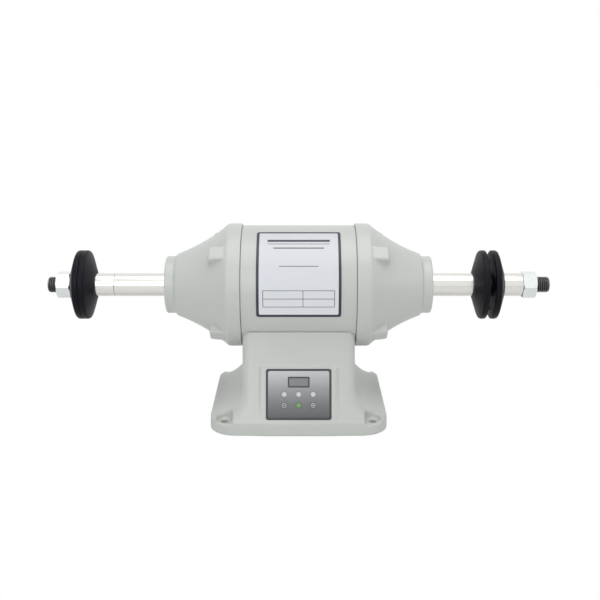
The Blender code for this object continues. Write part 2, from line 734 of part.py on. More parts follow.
# Motor barrel and end bells
def build_barrel():
    inner = BARREL_RADIUS - BARREL_WALL
    outline = [(-BARREL_HALF, inner), (-BARREL_HALF, BARREL_RADIUS - RIM_CHAMFER),
               (-BARREL_HALF + RIM_CHAMFER, BARREL_RADIUS),
               (BARREL_HALF - RIM_CHAMFER, BARREL_RADIUS),
               (BARREL_HALF, BARREL_RADIUS - RIM_CHAMFER), (BARREL_HALF, inner)]
    barrel = turned("motor_barrel", outline, BARREL_STEPS, PARTS, "casting_paint",
                    centre=(0, 0, AXIS_HEIGHT))
    for index, (x, y) in enumerate(corners_of(MOUNT_BOLT_X, MOUNT_BOLT_Y)):
        hole = rod(f"barrel_tapping_{index}", MOUNT_BOLT_RADIUS + FIT, (x, y, 0),
                   (x, y, AXIS_HEIGHT - WINDING_OUTER - FIT), CUTTERS)
        boolean(barrel, hole)
    leads = rod("barrel_lead_hole", LEAD_HOLE_RADIUS, (LEAD_HOLE_X, 0, 0),
                (LEAD_HOLE_X, 0, AXIS_HEIGHT), CUTTERS)
    boolean(barrel, leads)
    return settle(barrel, "casting_paint")


def cone_curve(start, end):
    """Points of the bell's cone: a quadratic curve through one handle."""
    points = []
    for step in range(1, CONE_STEPS):
        share = step / CONE_STEPS
        rest = 1 - share
        x = rest * rest * start[0] + 2 * rest * share * CONE_HANDLE_X + share * share * end[0]
        radius = (rest * rest * start[1] + 2 * rest * share * CONE_HANDLE_RADIUS
                  + share * share * end[1])
        points.append((x, radius))
    return points


def bell_face():
    """Where the bell's rim meets the barrel's end."""
    return BARREL_HALF + FIT


def ring_end():
    """The outboard side of a bearing."""
    return BEARING_START + BEARING_WIDTH


def pocket_floor(side):
    """Where the bearing pocket ends: deeper on the right, for the wave washer."""
    spare = WASHER_THICKNESS + WASHER_WAVE * 2 + FIT if side > 0 else 0
    return ring_end() + FIT + spare


def build_bell(side):
    name = "left" if side < 0 else "right"
    face = bell_face()
    rim_end = face + RIM_WIDTH
    spigot = BARREL_RADIUS - BARREL_WALL - PRESS_GAP
    start = (rim_end, RIM_RADIUS)
    neck = (HUB_START, NECK_RADIUS)
    outer = [(face - SPIGOT_LENGTH, 0), (face - SPIGOT_LENGTH, spigot), (face, spigot),
             (face, RIM_RADIUS), start]
    outer += cone_curve(start, neck)
    outer += [neck, (HUB_START, HUB_RADIUS), (HUB_END - HUB_CHAMFER, HUB_RADIUS),
              (HUB_END, HUB_RADIUS - HUB_CHAMFER), (HUB_END, 0)]
    outer = [(side * x, radius) for x, radius in outer]
    bell = turned(f"{name}_end_bell", outer, BELL_STEPS, PARTS, "casting_paint",
                  centre=(0, 0, AXIS_HEIGHT))

    boss_length = BOSS_END - face - RIM_WIDTH / 2
    for index, degrees in enumerate(BOSS_ANGLES):
        boss = drafted_boss(f"{name}_boss_{index}", boss_length)
        turn = Matrix.Rotation(math.radians(degrees), 4, "X")
        flip = Matrix.Rotation(math.pi if side < 0 else 0, 4, "Z")
        boss.matrix_world = Matrix.Translation((0, 0, AXIS_HEIGHT)) @ turn @ flip
        boolean(bell, boss, "UNION")

    housing_end = BEARING_START - HOUSING_LIP
    cavity = [(face - SPIGOT_LENGTH - OVERRUN, 0), (face - SPIGOT_LENGTH - OVERRUN, CAVITY_MOUTH_RADIUS),
              (CAVITY_KNEE_X, CAVITY_MOUTH_RADIUS),
              (CONE_HANDLE_X, CONE_HANDLE_RADIUS - CAVITY_WAIST_SET_IN),
              (housing_end, CAVITY_END_RADIUS), (housing_end, BEARING_OUTER),
              (pocket_floor(side), BEARING_OUTER), (pocket_floor(side), WEB_BORE_RADIUS),
              (SEAL_START, WEB_BORE_RADIUS), (SEAL_START, SEAL_RADIUS),
              (HUB_END + OVERRUN, SEAL_RADIUS), (HUB_END + OVERRUN, 0)]
    cavity = [(side * x, radius) for x, radius in cavity]
    cutter = turned(f"{name}_bell_cavity", cavity, BELL_STEPS, CUTTERS, centre=(0, 0, AXIS_HEIGHT))
    boolean(bell, cutter)
    for index, degrees in enumerate(BOSS_ANGLES):
        y, z = bolt_place(degrees)
        low = face - SPIGOT_LENGTH - OVERRUN
        if side < 0:
            high = BOSS_END + OVERRUN
            seat = BOSS_END - HEAD_POCKET_DEPTH
            pocket = rod(f"{name}_head_pocket_{index}", HEAD_POCKET_RADIUS, (-seat, y, z),
                         (-high, y, z), CUTTERS, steps=BOLT_STEPS)
            boolean(bell, pocket)
        else:
            high = BOSS_END - HEAD_POCKET_DEPTH
        hole = rod(f"{name}_bolt_hole_{index}", BOLT_HOLE_RADIUS, (side * low, y, z),
                   (side * high, y, z), CUTTERS)
        boolean(bell, hole)
    return settle(bell, "casting_paint")


def drafted_boss(name, length):
    """One bolt boss, narrower and lower at its outboard end, pointing along +X."""
    height = BOSS_OUTER_RADIUS - BOSS_INNER_RADIUS
    boss = block(name, (length, BOSS_WIDTH, height), CUTTERS, edge=BOSS_EDGE)
    middle = Vector((BOSS_END - length / 2, 0, BOSS_INNER_RADIUS + height / 2))
    for vertex in boss.data.vertices:
        outboard = vertex.co.x > 0
        high = vertex.co.z > 0
        vertex.co += middle
        if outboard and high:
            vertex.co.z -= BOSS_DRAFT
    return boss


def bolt_place(degrees):
    angle = math.radians(degrees)
    return -BOLT_PITCH_RADIUS * math.sin(angle), AXIS_HEIGHT + BOLT_PITCH_RADIUS * math.cos(angle)


def build_tie_bolts():
    """Four long bolts that draw the two end bells onto the barrel."""
    head_seat = -(BOSS_END - HEAD_POCKET_DEPTH) - FIT
    head_end = head_seat - BOLT_HEAD_LENGTH
    tip = BOSS_END - HEAD_POCKET_DEPTH - FIT
    outline = [(head_end + BOLT_SOCKET_DEPTH, 0), (head_end + BOLT_SOCKET_DEPTH, BOLT_SOCKET_RADIUS),
               (head_end, BOLT_SOCKET_RADIUS), (head_end, BOLT_HEAD_RADIUS),
               (head_seat, BOLT_HEAD_RADIUS), (head_seat, BOLT_RADIUS), (tip, BOLT_RADIUS), (tip, 0)]
    for index, degrees in enumerate(BOSS_ANGLES):
        y, z = bolt_place(degrees)
        settle(turned(f"tie_bolt_{index + 1}", outline, BOLT_STEPS, PARTS, "black_oxide",
                      centre=(0, y, z)))


def build_mounting_bolts():
    """Four screws from inside the pedestal that hold the barrel in its saddle."""
    web = AXIS_HEIGHT - BARREL_RADIUS - SADDLE_WEB
    for index, (x, y) in enumerate(corners_of(MOUNT_BOLT_X, MOUNT_BOLT_Y)):
        drop = math.sqrt((BARREL_RADIUS - BARREL_WALL) ** 2 - y * y)
        tip = AXIS_HEIGHT - drop + FIT * 2
        head_top = web - FIT
        outline = [(head_top - MOUNT_HEAD_LENGTH, 0), (head_top - MOUNT_HEAD_LENGTH, MOUNT_HEAD_RADIUS),
                   (head_top, MOUNT_HEAD_RADIUS), (head_top, MOUNT_BOLT_RADIUS),
                   (tip, MOUNT_BOLT_RADIUS), (tip, 0)]
        settle(turned(f"motor_mounting_bolt_{index + 1}", outline, BOLT_STEPS, PARTS, "bright_zinc",
                      along_x=False, centre=(x, y, 0)))


# Stator, rotor and bearings
def build_stator():
    outer = BARREL_RADIUS - BARREL_WALL - PRESS_GAP
    outline = [(-CORE_HALF, STATOR_BORE), (-CORE_HALF, outer), (CORE_HALF, outer),
               (CORE_HALF, STATOR_BORE)]
    core = turned("stator_core", outline, BELL_STEPS, PARTS, "core_steel",
                  centre=(0, 0, AXIS_HEIGHT))
    for index, degrees in enumerate(BOSS_ANGLES):
        y, z = bolt_place(degrees)
        notch = rod(f"bolt_notch_{index}", BOLT_NOTCH_RADIUS, (-CORE_HALF - OVERRUN, y, z),
                    (CORE_HALF + OVERRUN, y, z), CUTTERS)
        boolean(core, notch)
    settle(core, "core_steel")
    for side, name in ((-1, "left"), (1, "right")):
        near = CORE_HALF + FIT
        far = near + WINDING_LENGTH
        outline = [(near, WINDING_INNER), (near, WINDING_OUTER - WINDING_LEAN),
                   (far - WINDING_ROUND, WINDING_OUTER), (far, WINDING_OUTER - WINDING_ROUND),
                   (far, WINDING_INNER + WINDING_ROUND), (far - WINDING_ROUND, WINDING_INNER)]
        outline = [(side * x, radius) for x, radius in outline]
        settle(turned(f"{name}_stator_winding", outline, RING_STEPS, PARTS, "copper_winding",
                      centre=(0, 0, AXIS_HEIGHT)))


def build_rotor():
    radius = STATOR_BORE - AIR_GAP
    bore = CORE_SEAT_RADIUS + FIT
    end = CORE_HALF + ROTOR_RING_LENGTH
    outline = []
    for side in (-1, 1):
        half = [(side * CORE_HALF, bore), (side * CORE_HALF, ROTOR_RING_INNER),
                (side * end, ROTOR_RING_INNER), (side * end, ROTOR_RING_OUTER),
                (side * CORE_HALF, ROTOR_RING_OUTER), (side * CORE_HALF, radius)]
        outline += half if side < 0 else list(reversed(half))
    return settle(turned("rotor_core", outline, SHAFT_STEPS, PARTS, "core_steel",
                         centre=(0, 0, AXIS_HEIGHT)))


def race_points(middle, pitch, sign):
    """The groove of a bearing ring: an arc that clears the balls."""
    groove = BALL_RADIUS + RACE_CLEARANCE
    points = []
    for angle in (-RACE_HALF_ANGLE, 0, RACE_HALF_ANGLE):
        points.append((middle + groove * math.sin(angle), pitch + sign * groove * math.cos(angle)))
    return points


def build_bearings():
    """Two deep-groove ball bearings, each an outer ring, an inner ring and its balls."""
    pitch = (BEARING_OUTER + BEARING_BORE) / 2
    middle = BEARING_START + BEARING_WIDTH / 2
    low, high = BEARING_START, ring_end()
    land = BALL_RADIUS * RACE_LAND_SHARE
    bodies = {}
    for side, name in ((-1, "left"), (1, "right")):
        outer_radius = BEARING_OUTER - FIT
        outline = [(high, pitch + land), (high, outer_radius), (low, outer_radius),
                   (low, pitch + land)]
        outline += race_points(middle, pitch, 1)
        outline = [(side * x, radius) for x, radius in outline]
        settle(turned(f"{name}_bearing_outer_ring", outline, RING_STEPS, PARTS, "bearing_steel",
                      centre=(0, 0, AXIS_HEIGHT)))
        inner_radius = BEARING_BORE + FIT
        outline = [(high, pitch - land), (high, inner_radius), (low, inner_radius),
                   (low, pitch - land)]
        outline += race_points(middle, pitch, -1)
        outline = [(side * x, radius) for x, radius in outline]
        inner = turned(f"{name}_bearing_inner_ring", outline, RING_STEPS, PARTS, "bearing_steel",
                       centre=(0, 0, AXIS_HEIGHT))
        bodies[name + "_ring"] = settle(inner)
        bodies[name + "_balls"] = build_ball_set(name, side * middle, pitch)
    return bodies


def build_ball_set(name, x, pitch):
    """The balls of one bearing in their cage."""
    half = CAGE_WIDTH / 2
    outline = [(x - half, pitch - CAGE_WALL / 2), (x - half, pitch + CAGE_WALL / 2),
               (x + half, pitch + CAGE_WALL / 2), (x + half, pitch - CAGE_WALL / 2)]
    cage = turned(f"{name}_ball_cage", outline, BALL_COUNT * 2, PARTS, "bearing_steel",
                  centre=(0, 0, AXIS_HEIGHT))
    for index in range(BALL_COUNT):
        angle = math.tau * index / BALL_COUNT
        bm = bmesh.new()
        bmesh.ops.create_uvsphere(bm, u_segments=6, v_segments=4, radius=BALL_RADIUS)
        mesh = bpy.data.meshes.new(f"{name}_ball_{index}")
        bm.to_mesh(mesh)
        bm.free()
        ball = add_object(mesh.name, mesh, CUTTERS)
        ball.location = (x, pitch * math.sin(angle), AXIS_HEIGHT + pitch * math.cos(angle))
        boolean(cage, ball, "UNION")
    return settle(cage, "bearing_steel")


def build_washer():
    """The wave spring washer that preloads the right bearing."""
    middle = ring_end() + FIT + WASHER_WAVE + WASHER_THICKNESS / 2
    outer = BEARING_OUTER - FIT * 2
    outline = [(-WASHER_THICKNESS / 2, outer - WASHER_WIDTH), (-WASHER_THICKNESS / 2, outer),
               (WASHER_THICKNESS / 2, outer), (WASHER_THICKNESS / 2, outer - WASHER_WIDTH)]
    washer = turned("bearing_wave_washer", outline, RING_STEPS, PARTS, "bearing_steel",
                    centre=(middle, 0, AXIS_HEIGHT))
    settle(washer)
    for vertex in washer.data.vertices:
        angle = math.atan2(vertex.co.y, vertex.co.x)
        vertex.co.z += WASHER_WAVE * math.cos(WASHER_WAVES * angle)
    return washer


def build_seals():
    for side, name in ((-1, "left"), (1, "right")):
        near = SEAL_START + FIT
        far = HUB_END - SEAL_FACE_SET
        outline = [(near, SHAFT_RADIUS + FIT + SEAL_LIP), (near, SEAL_RADIUS - FIT),
                   (far, SEAL_RADIUS - FIT), (far, SHAFT_RADIUS + FIT + SEAL_LIP),
                   ((near + far) / 2, SHAFT_RADIUS + FIT)]
        outline = [(side * x, radius) for x, radius in outline]
        settle(turned(f"{name}_shaft_seal", outline, RING_STEPS, PARTS, "seal_rubber",
                      centre=(0, 0, AXIS_HEIGHT)))


# Shaft and clamping stacks
def build_shaft():
    half = [(SHAFT_END, 0), (SHAFT_END, ARBOR_RADIUS - END_CHAMFER),
            (SHAFT_END - END_CHAMFER, ARBOR_RADIUS), (SHOULDER, ARBOR_RADIUS),
            (SHOULDER, SHAFT_RADIUS - SHOULDER_CHAMFER), (SHOULDER - SHOULDER_CHAMFER, SHAFT_RADIUS),
            (ring_end(), SHAFT_RADIUS), (ring_end(), BEARING_BORE),
            (BEARING_START - FIT, BEARING_BORE), (BEARING_START - FIT, CORE_SEAT_RADIUS)]
    outline = half + [(-x, radius) for x, radius in reversed(half)]
    return settle(turned("spindle_shaft", outline, SHAFT_STEPS, PARTS, "polished_steel",
                         centre=(0, 0, AXIS_HEIGHT)))


def flange_outline(face, side):
    """A clamping flange: its mating face at a place, its hub towards a side."""
    hub = COUNTERBORE_RADIUS
    half = [(0, FLANGE_RADIUS - FLANGE_EDGE), (FLANGE_EDGE, FLANGE_RADIUS),
            (FLANGE_RIM, FLANGE_RADIUS), (FLANGE_RIM + FLANGE_EDGE, FLANGE_RADIUS - FLANGE_EDGE),
            (FLANGE_THICKNESS, FLANGE_HUB), (FLANGE_THICKNESS, hub), (FLANGE_WEB, hub),
            (FLANGE_WEB, ARBOR_RADIUS + FIT),
            (0, ARBOR_RADIUS + FIT), (0, RELIEF_HUB), (RELIEF_DEPTH, RELIEF_HUB),
            (RELIEF_DEPTH, RELIEF_RADIUS), (0, RELIEF_RADIUS)]
    return [(face + side * x, radius) for x, radius in half]


def build_flange(name, face, side):
    return settle(turned(name, flange_outline(face, side), FLANGE_STEPS, PARTS, "black_oxide",
                         centre=(0, 0, AXIS_HEIGHT)))


def build_spacer(name, inner, outer):
    low, high = sorted((inner, outer))
    outline = [(low, SPACER_BORE), (low, SHAFT_RADIUS), (high, SHAFT_RADIUS), (high, SPACER_BORE)]
    return settle(turned(name, outline, SHAFT_STEPS, PARTS, "polished_steel",
                         centre=(0, 0, AXIS_HEIGHT)))


def build_nut(name, near, side):
    """A heavy hexagon nut with its corners chamfered on the outer face."""
    corner = NUT_FLATS / 2 / math.cos(math.pi / NUT_SIDES)
    far = near + side * NUT_THICKNESS
    outline = [(near, 0), (near, corner), (far - side * NUT_CHAMFER, corner + FIT),
               (far, corner - NUT_CHAMFER), (far, 0)]
    nut = turned(name, [(near, 0), (near, corner), (far, corner), (far, 0)], NUT_SIDES, PARTS,
                 "bright_zinc", centre=(0, 0, AXIS_HEIGHT))
    dome = turned(name + "_dome", outline, SHAFT_STEPS, CUTTERS, centre=(0, 0, AXIS_HEIGHT))
    bore = rod(name + "_bore", ARBOR_RADIUS + FIT, (near - side * OVERRUN, 0, AXIS_HEIGHT),
               (far + side * OVERRUN, 0, AXIS_HEIGHT), CUTTERS, steps=SHAFT_STEPS)
    boolean(nut, dome, "INTERSECT")
    boolean(nut, bore)
    return settle(nut, "bright_zinc")


# Nameplate and control panel
def build_nameplate():
    """A thin blank plate bent to the barrel."""
    bm = bmesh.new()
    bmesh.ops.create_grid(bm, x_segments=1, y_segments=LABEL_STEPS, size=1)
    radius = BARREL_RADIUS + FIT
    for vertex in bm.verts:
        share = (vertex.co.y + 1) / 2
        angle = LABEL_LOW_ANGLE + (LABEL_HIGH_ANGLE - LABEL_LOW_ANGLE) * share
        vertex.co = (vertex.co.x * LABEL_HALF_WIDTH, -radius * math.cos(angle),
                     AXIS_HEIGHT + radius * math.sin(angle))
    mesh = bpy.data.meshes.new("nameplate")
    bm.to_mesh(mesh)
    bm.free()
    plate = add_object("nameplate", mesh, PARTS, "label_silver")
    wall = plate.modifiers.new("thickness", "SOLIDIFY")
    wall.thickness = LABEL_THICKNESS
    wall.offset = 1
    return settle(plate, "label_silver")


def build_panel():
    """Bezel, plate, window and circuit board, from the front of the pedestal inwards."""
    face = -FIT
    bezel = rounded_slab("control_bezel", BEZEL_WIDTH, BEZEL_HEIGHT, face - BEZEL_DEPTH + FIT, 0,
                         BEZEL_CORNER, PARTS, "bezel_black")
    in_panel(bezel)
    pocket = rounded_slab("bezel_pocket", PLATE_WIDTH + FIT * 2, PLATE_HEIGHT + FIT * 2,
                          -PLATE_THICKNESS - FIT * 2, OVERRUN, PLATE_CORNER, CUTTERS)
    in_panel(pocket)
    opening = rounded_slab("bezel_opening", PLATE_WIDTH - LEDGE * 2, PLATE_HEIGHT - LEDGE * 2,
                           -BEZEL_DEPTH - OVERRUN, 0, PLATE_CORNER, CUTTERS)
    in_panel(opening)
    boolean(bezel, pocket)
    boolean(bezel, opening)
    settle(bezel, "bezel_black")

    back = face - PLATE_THICKNESS
    plate = rounded_slab("control_plate", PLATE_WIDTH, PLATE_HEIGHT, back, face, PLATE_CORNER,
                         PARTS, "panel_grey")
    in_panel(plate)
    spread_x = PLATE_WIDTH / 2 - STANDOFF_INSET
    spread_y = PLATE_HEIGHT / 2 - STANDOFF_INSET
    for index, (x, y) in enumerate(corners_of(spread_x, spread_y)):
        post = rod(f"standoff_{index}", STANDOFF_RADIUS, (0, 0, -STANDOFF_LENGTH),
                   (0, 0, PLATE_THICKNESS / 2), CUTTERS)
        in_panel(post, (x, y, back - STANDOFF_LENGTH / 2 + PLATE_THICKNESS / 4))
        boolean(plate, post, "UNION")
    cut = rounded_slab("window_cut", WINDOW_WIDTH + FIT * 2, WINDOW_HEIGHT + FIT * 2,
                       back - OVERRUN / 2, OVERRUN, PLATE_CORNER / 2, CUTTERS)
    in_panel(cut, (0, WINDOW_RISE, 0))
    boolean(plate, cut)
    for index, (x, y) in enumerate(button_places()):
        hole = rod(f"button_hole_{index}", BUTTON_RADIUS + FIT, (0, 0, -OVERRUN), (0, 0, OVERRUN),
                   CUTTERS, steps=BUTTON_STEPS)
        in_panel(hole, (x, y, 0))
        boolean(plate, hole)
    settle(plate, "panel_grey")

    window = rounded_slab("display_window", WINDOW_WIDTH, WINDOW_HEIGHT, back, face,
                          PLATE_CORNER / 2, PARTS, "window_grey")
    in_panel(window, (0, WINDOW_RISE, 0))
    settle(window, "window_grey")

    board_top = back - STANDOFF_LENGTH - FIT
    board = rounded_slab("control_board", PLATE_WIDTH - LEDGE * 2 - FIT * 4,
                         PLATE_HEIGHT - LEDGE * 2 - FIT * 4, board_top - BOARD_THICKNESS, board_top,
                         PLATE_CORNER, PARTS, "board_green")
    in_panel(board)
    switch_top = back - FIT - BUTTON_FLANGE_THICKNESS - BUTTON_TRAVEL - FIT
    for index, (x, y) in enumerate(button_places()):
        height = switch_top - board_top
        switch = block(f"switch_{index}", (SWITCH_SIZE, SWITCH_SIZE, height + BOARD_THICKNESS / 2),
                       CUTTERS)
        in_panel(switch, (x, y, board_top + height / 2 - BOARD_THICKNESS / 4))
        boolean(board, switch, "UNION")
    height = back - FIT - board_top
    display = block("display_block", (WINDOW_WIDTH - DISPLAY_BLOCK_MARGIN,
                                      WINDOW_HEIGHT - DISPLAY_BLOCK_MARGIN,
                                      height + BOARD_THICKNESS / 2), CUTTERS)
    in_panel(display, (0, WINDOW_RISE, board_top + height / 2 - BOARD_THICKNESS / 4))
    boolean(board, display, "UNION")
    settle(board, "board_green")


BUTTONS = (("mode_button", "button_white"), ("run_button", "button_white"),
           ("stop_button", "button_white"), ("slower_button", "button_dark"),
           ("power_button", "button_green"), ("faster_button", "button_dark"))


def button_places():
    """Two rows of three, the lower row nearer the foot of the panel."""
    return [(BUTTON_PITCH * column, -BUTTON_ROW_DROP * row) for row in (0, 1) for column in (-1, 0, 1)]


def build_buttons():
    """Six push buttons, each held behind the plate by its flange."""
    back = -FIT - PLATE_THICKNESS
    flange = back - FIT
    tail = flange - BUTTON_FLANGE_THICKNESS
    outline = [(BUTTON_PROUD, 0), (BUTTON_PROUD, BUTTON_RADIUS), (flange, BUTTON_RADIUS),
               (flange, BUTTON_RADIUS + BUTTON_FLANGE), (tail, BUTTON_RADIUS + BUTTON_FLANGE),
               (tail, 0)]
    for (name, material), (x, y) in zip(BUTTONS, button_places()):
        button = turned(name, outline, BUTTON_STEPS, PARTS, material, along_x=False)
        in_panel(button, (x, y, 0))
        settle(button)
        pivot = add_pivot(name + "_slide", button.matrix_world.translation)
        on_body(button, pivot)


def build_spindle():
    """The turning group, with its two clamps, each nut on the clamp that it closes."""
    axis = (0, 0, AXIS_HEIGHT)
    spindle = add_pivot("spindle", axis)
    bearings = build_bearings()
    for piece in (build_shaft(), build_rotor(), bearings["left_ring"], bearings["right_ring"]):
        on_body(piece, spindle)
    for name in ("left", "right"):
        cage = add_pivot(f"{name}_cage", axis)
        on_body(bearings[name + "_balls"], cage)

    spacer_in = -SHOULDER - FIT
    spacer_out = spacer_in - SPACER_LENGTH
    left_face = spacer_out - FIT - FLANGE_WEB
    on_body(build_spacer("left_spacer", spacer_in, spacer_out), spindle)
    on_body(build_flange("left_inner_flange", left_face, 1), spindle)
    left_clamp = add_pivot("left_clamp", (left_face, 0, AXIS_HEIGHT), spindle)
    outer_face = left_face - FIT
    on_body(build_flange("left_outer_flange", outer_face, -1), left_clamp)
    nut_seat = outer_face - FLANGE_THICKNESS - FIT
    on_body(build_nut("left_nut", nut_seat, -1), left_clamp)

    right_face = SHOULDER + FIT + FLANGE_WEB
    on_body(build_flange("right_inner_flange", right_face, -1), spindle)
    outer_face = right_face + WHEEL_GAP
    right_clamp = add_pivot("right_clamp", (outer_face, 0, AXIS_HEIGHT), spindle)
    on_body(build_flange("right_outer_flange", outer_face, 1), right_clamp)
    spacer_in = outer_face + FLANGE_WEB + FIT
    spacer_out = spacer_in + SPACER_LENGTH
    on_body(build_spacer("right_spacer", spacer_in, spacer_out), right_clamp)
    on_body(build_nut("right_nut", spacer_out + FIT, 1), right_clamp)


def main():
    for obj in list(bpy.data.objects):
        bpy.data.objects.remove(obj)
    bpy.context.scene.collection.children.link(PARTS)
    bpy.context.scene.collection.children.link(CUTTERS)
    make_materials()
    build_pedestal()
    build_base_cover()
    build_drive_module()
    build_cord_gland()
    build_barrel()
    build_bell(-1)
    build_bell(1)
    build_tie_bolts()
    build_mounting_bolts()
    build_stator()
    build_washer()
    build_seals()
    build_nameplate()
    build_panel()
    build_buttons()
    build_spindle()


main()
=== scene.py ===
# %% [markdown]
# # A double-ended bench buffer
# The machine is a motor on a cast pedestal. A long shaft sticks out of both ends and
# carries a pair of black flanges, a spacer and a nut, which clamp a polishing wheel.
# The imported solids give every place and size; the cells below dress them with smooth
# castings, cut threads, a nameplate and a control panel.

# %% Load the frame
import json
import math

import bmesh
import bpy
from mathutils import Matrix, Vector


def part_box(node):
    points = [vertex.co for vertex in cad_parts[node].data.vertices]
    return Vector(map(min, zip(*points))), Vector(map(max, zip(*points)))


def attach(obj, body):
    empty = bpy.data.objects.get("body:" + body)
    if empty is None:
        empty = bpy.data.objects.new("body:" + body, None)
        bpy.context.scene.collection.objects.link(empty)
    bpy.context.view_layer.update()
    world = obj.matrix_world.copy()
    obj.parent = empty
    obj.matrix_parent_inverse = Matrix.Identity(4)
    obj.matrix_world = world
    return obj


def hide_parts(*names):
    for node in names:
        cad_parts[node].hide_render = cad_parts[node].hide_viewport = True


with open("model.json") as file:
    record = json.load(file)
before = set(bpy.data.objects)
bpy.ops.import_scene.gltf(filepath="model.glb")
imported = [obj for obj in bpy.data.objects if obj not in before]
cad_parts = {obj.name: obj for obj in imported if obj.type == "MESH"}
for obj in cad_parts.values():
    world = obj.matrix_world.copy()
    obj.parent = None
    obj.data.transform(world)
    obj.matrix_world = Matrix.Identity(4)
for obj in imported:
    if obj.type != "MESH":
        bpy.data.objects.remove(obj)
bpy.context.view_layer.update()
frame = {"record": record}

joints = {joint["name"]: joint for joint in frame["record"]["behaviour"]["joints"]}
AXIS = Vector(joints["spindle_spin"]["pos_m"])
print("axis height", AXIS.z)

# %% [markdown]
# ## Looking at the machine
# The camera stands in front and a little above, with a lens of about 57 mm on a 36 mm
# sensor. A longer lens from farther off would fill the frame too, but the distance and
# rise come from how much the round seams bow and how high the far feet stand.

# %% Camera
CAMERA_DISTANCE = 1.52
CAMERA_RISE = math.radians(14)
SHIFT_DOWN = 0.0258
SHIFT_RIGHT = 0.0022
LENS = 56.8
SENSOR_WIDTH = 36

camera_data = bpy.data.cameras.new("camera")
camera_data.lens = LENS
camera_data.sensor_width = SENSOR_WIDTH
camera_data.shift_x = SHIFT_RIGHT
camera_data.shift_y = -SHIFT_DOWN
camera = bpy.data.objects.new("camera", camera_data)
bpy.context.collection.objects.link(camera)
camera.location = AXIS + CAMERA_DISTANCE * Vector((0, -math.cos(CAMERA_RISE), math.sin(CAMERA_RISE)))
camera.rotation_euler = (math.pi / 2 - CAMERA_RISE, 0, 0)
bpy.context.scene.camera = camera
bpy.context.scene.view_settings.view_transform = "Standard"
print("camera at", [round(value, 3) for value in camera.location])

# %% [markdown]
# ## Light
# The photograph has no hard shadows, as under large soft boxes. One lamp could do, but
# three square ones give the round forms a bright top, a soft front and a rim.
# The camera and the polished metal see the world at full strength, so the ground stays
# white, and everything else gets only part of it, so that the shadows keep their depth.

# %% Lamps

def add_lamp(name, place, target, size, power):
    """A square soft light that faces a target."""
    data = bpy.data.lights.new(name, "AREA")
    data.size = size
    data.energy = power
    lamp = bpy.data.objects.new(name, data)
    bpy.context.collection.objects.link(lamp)
    lamp.location = place
    lamp.rotation_euler = (Vector(target) - Vector(place)).to_track_quat("-Z", "Y").to_euler()


add_lamp("overhead_softbox", (0.1, -0.3, 1.9), AXIS, 1.6, 17)
add_lamp("front_softbox", (-0.7, -2.0, 1.1), AXIS, 1.4, 11)
add_lamp("right_softbox", (1.9, -0.7, 0.8), AXIS, 1.0, 2)
print("lamps", len(bpy.data.lights))

# %% World
FILL_STRENGTH = 0.49
SEEN_STRENGTH = 1.0
world = bpy.data.worlds.new("studio")
bpy.context.scene.world = world
world.use_nodes = True
nodes, links = world.node_tree.nodes, world.node_tree.links
nodes.clear()
rays = nodes.new("ShaderNodeLightPath")
seen = nodes.new("ShaderNodeMath")
seen.operation = "MAXIMUM"
links.new(rays.outputs["Is Camera Ray"], seen.inputs[0])
links.new(rays.outputs["Is Glossy Ray"], seen.inputs[1])
also = nodes.new("ShaderNodeMath")
also.operation = "MAXIMUM"
links.new(seen.outputs[0], also.inputs[0])
links.new(rays.outputs["Is Transmission Ray"], also.inputs[1])
strength = nodes.new("ShaderNodeMapRange")
strength.inputs["To Min"].default_value = FILL_STRENGTH
strength.inputs["To Max"].default_value = SEEN_STRENGTH
links.new(also.outputs[0], strength.inputs["Value"])
backdrop = nodes.new("ShaderNodeBackground")
backdrop.inputs["Color"].default_value = (1, 1, 1, 1)
links.new(strength.outputs["Result"], backdrop.inputs["Strength"])
output = nodes.new("ShaderNodeOutputWorld")
links.new(backdrop.outputs[0], output.inputs["Surface"])
print("fill", FILL_STRENGTH)


# %% [markdown]
# ## Shared effects
# Cast and moulded surfaces share a fine grain, ground metal shares turning lines, and
# most edges share a little wear. Each material could hold its own copy of the nodes, but
# one node group with named sockets is built once and used at any scale.

# %% An empty group
def new_group(name, inputs, outputs):
    """An empty shader group with its named sockets."""
    group = bpy.data.node_groups.new(name, "ShaderNodeTree")
    for label, value in inputs:
        socket = group.interface.new_socket(label, in_out="INPUT", socket_type="NodeSocketFloat")
        socket.default_value = value
    for label, kind in outputs:
        group.interface.new_socket(label, in_out="OUTPUT", socket_type=kind)
    start = group.nodes.new("NodeGroupInput")
    end = group.nodes.new("NodeGroupOutput")
    return group, start, end


# %% [markdown]
# Enamel and mouldings are never quite flat or of one shade. A fine noise lifts the
# surface a little, and a slow one drifts between the two colours of a finish.

# %% Surface grain
GRAIN_BUMP = 0.0004


def make_grain_group():
    """Fine bumps and slow shade changes, in object space."""
    group, start, end = new_group("surface_grain",
                                  (("Scale", 900.0), ("Depth", 0.1), ("Blotch", 25.0)),
                                  (("Normal", "NodeSocketVector"), ("Shade", "NodeSocketFloat")))
    coords = group.nodes.new("ShaderNodeTexCoord")
    fine = group.nodes.new("ShaderNodeTexNoise")
    fine.inputs["Detail"].default_value = 3
    bump = group.nodes.new("ShaderNodeBump")
    bump.inputs["Distance"].default_value = GRAIN_BUMP
    slow = group.nodes.new("ShaderNodeTexNoise")
    slow.inputs["Detail"].default_value = 4
    for target, scale in ((fine, "Scale"), (slow, "Blotch")):
        group.links.new(coords.outputs["Object"], target.inputs["Vector"])
        group.links.new(start.outputs[scale], target.inputs["Scale"])
    group.links.new(fine.outputs[0], bump.inputs["Height"])
    group.links.new(start.outputs["Depth"], bump.inputs["Strength"])
    group.links.new(bump.outputs["Normal"], end.inputs["Normal"])
    group.links.new(slow.outputs[0], end.inputs["Shade"])
    return group


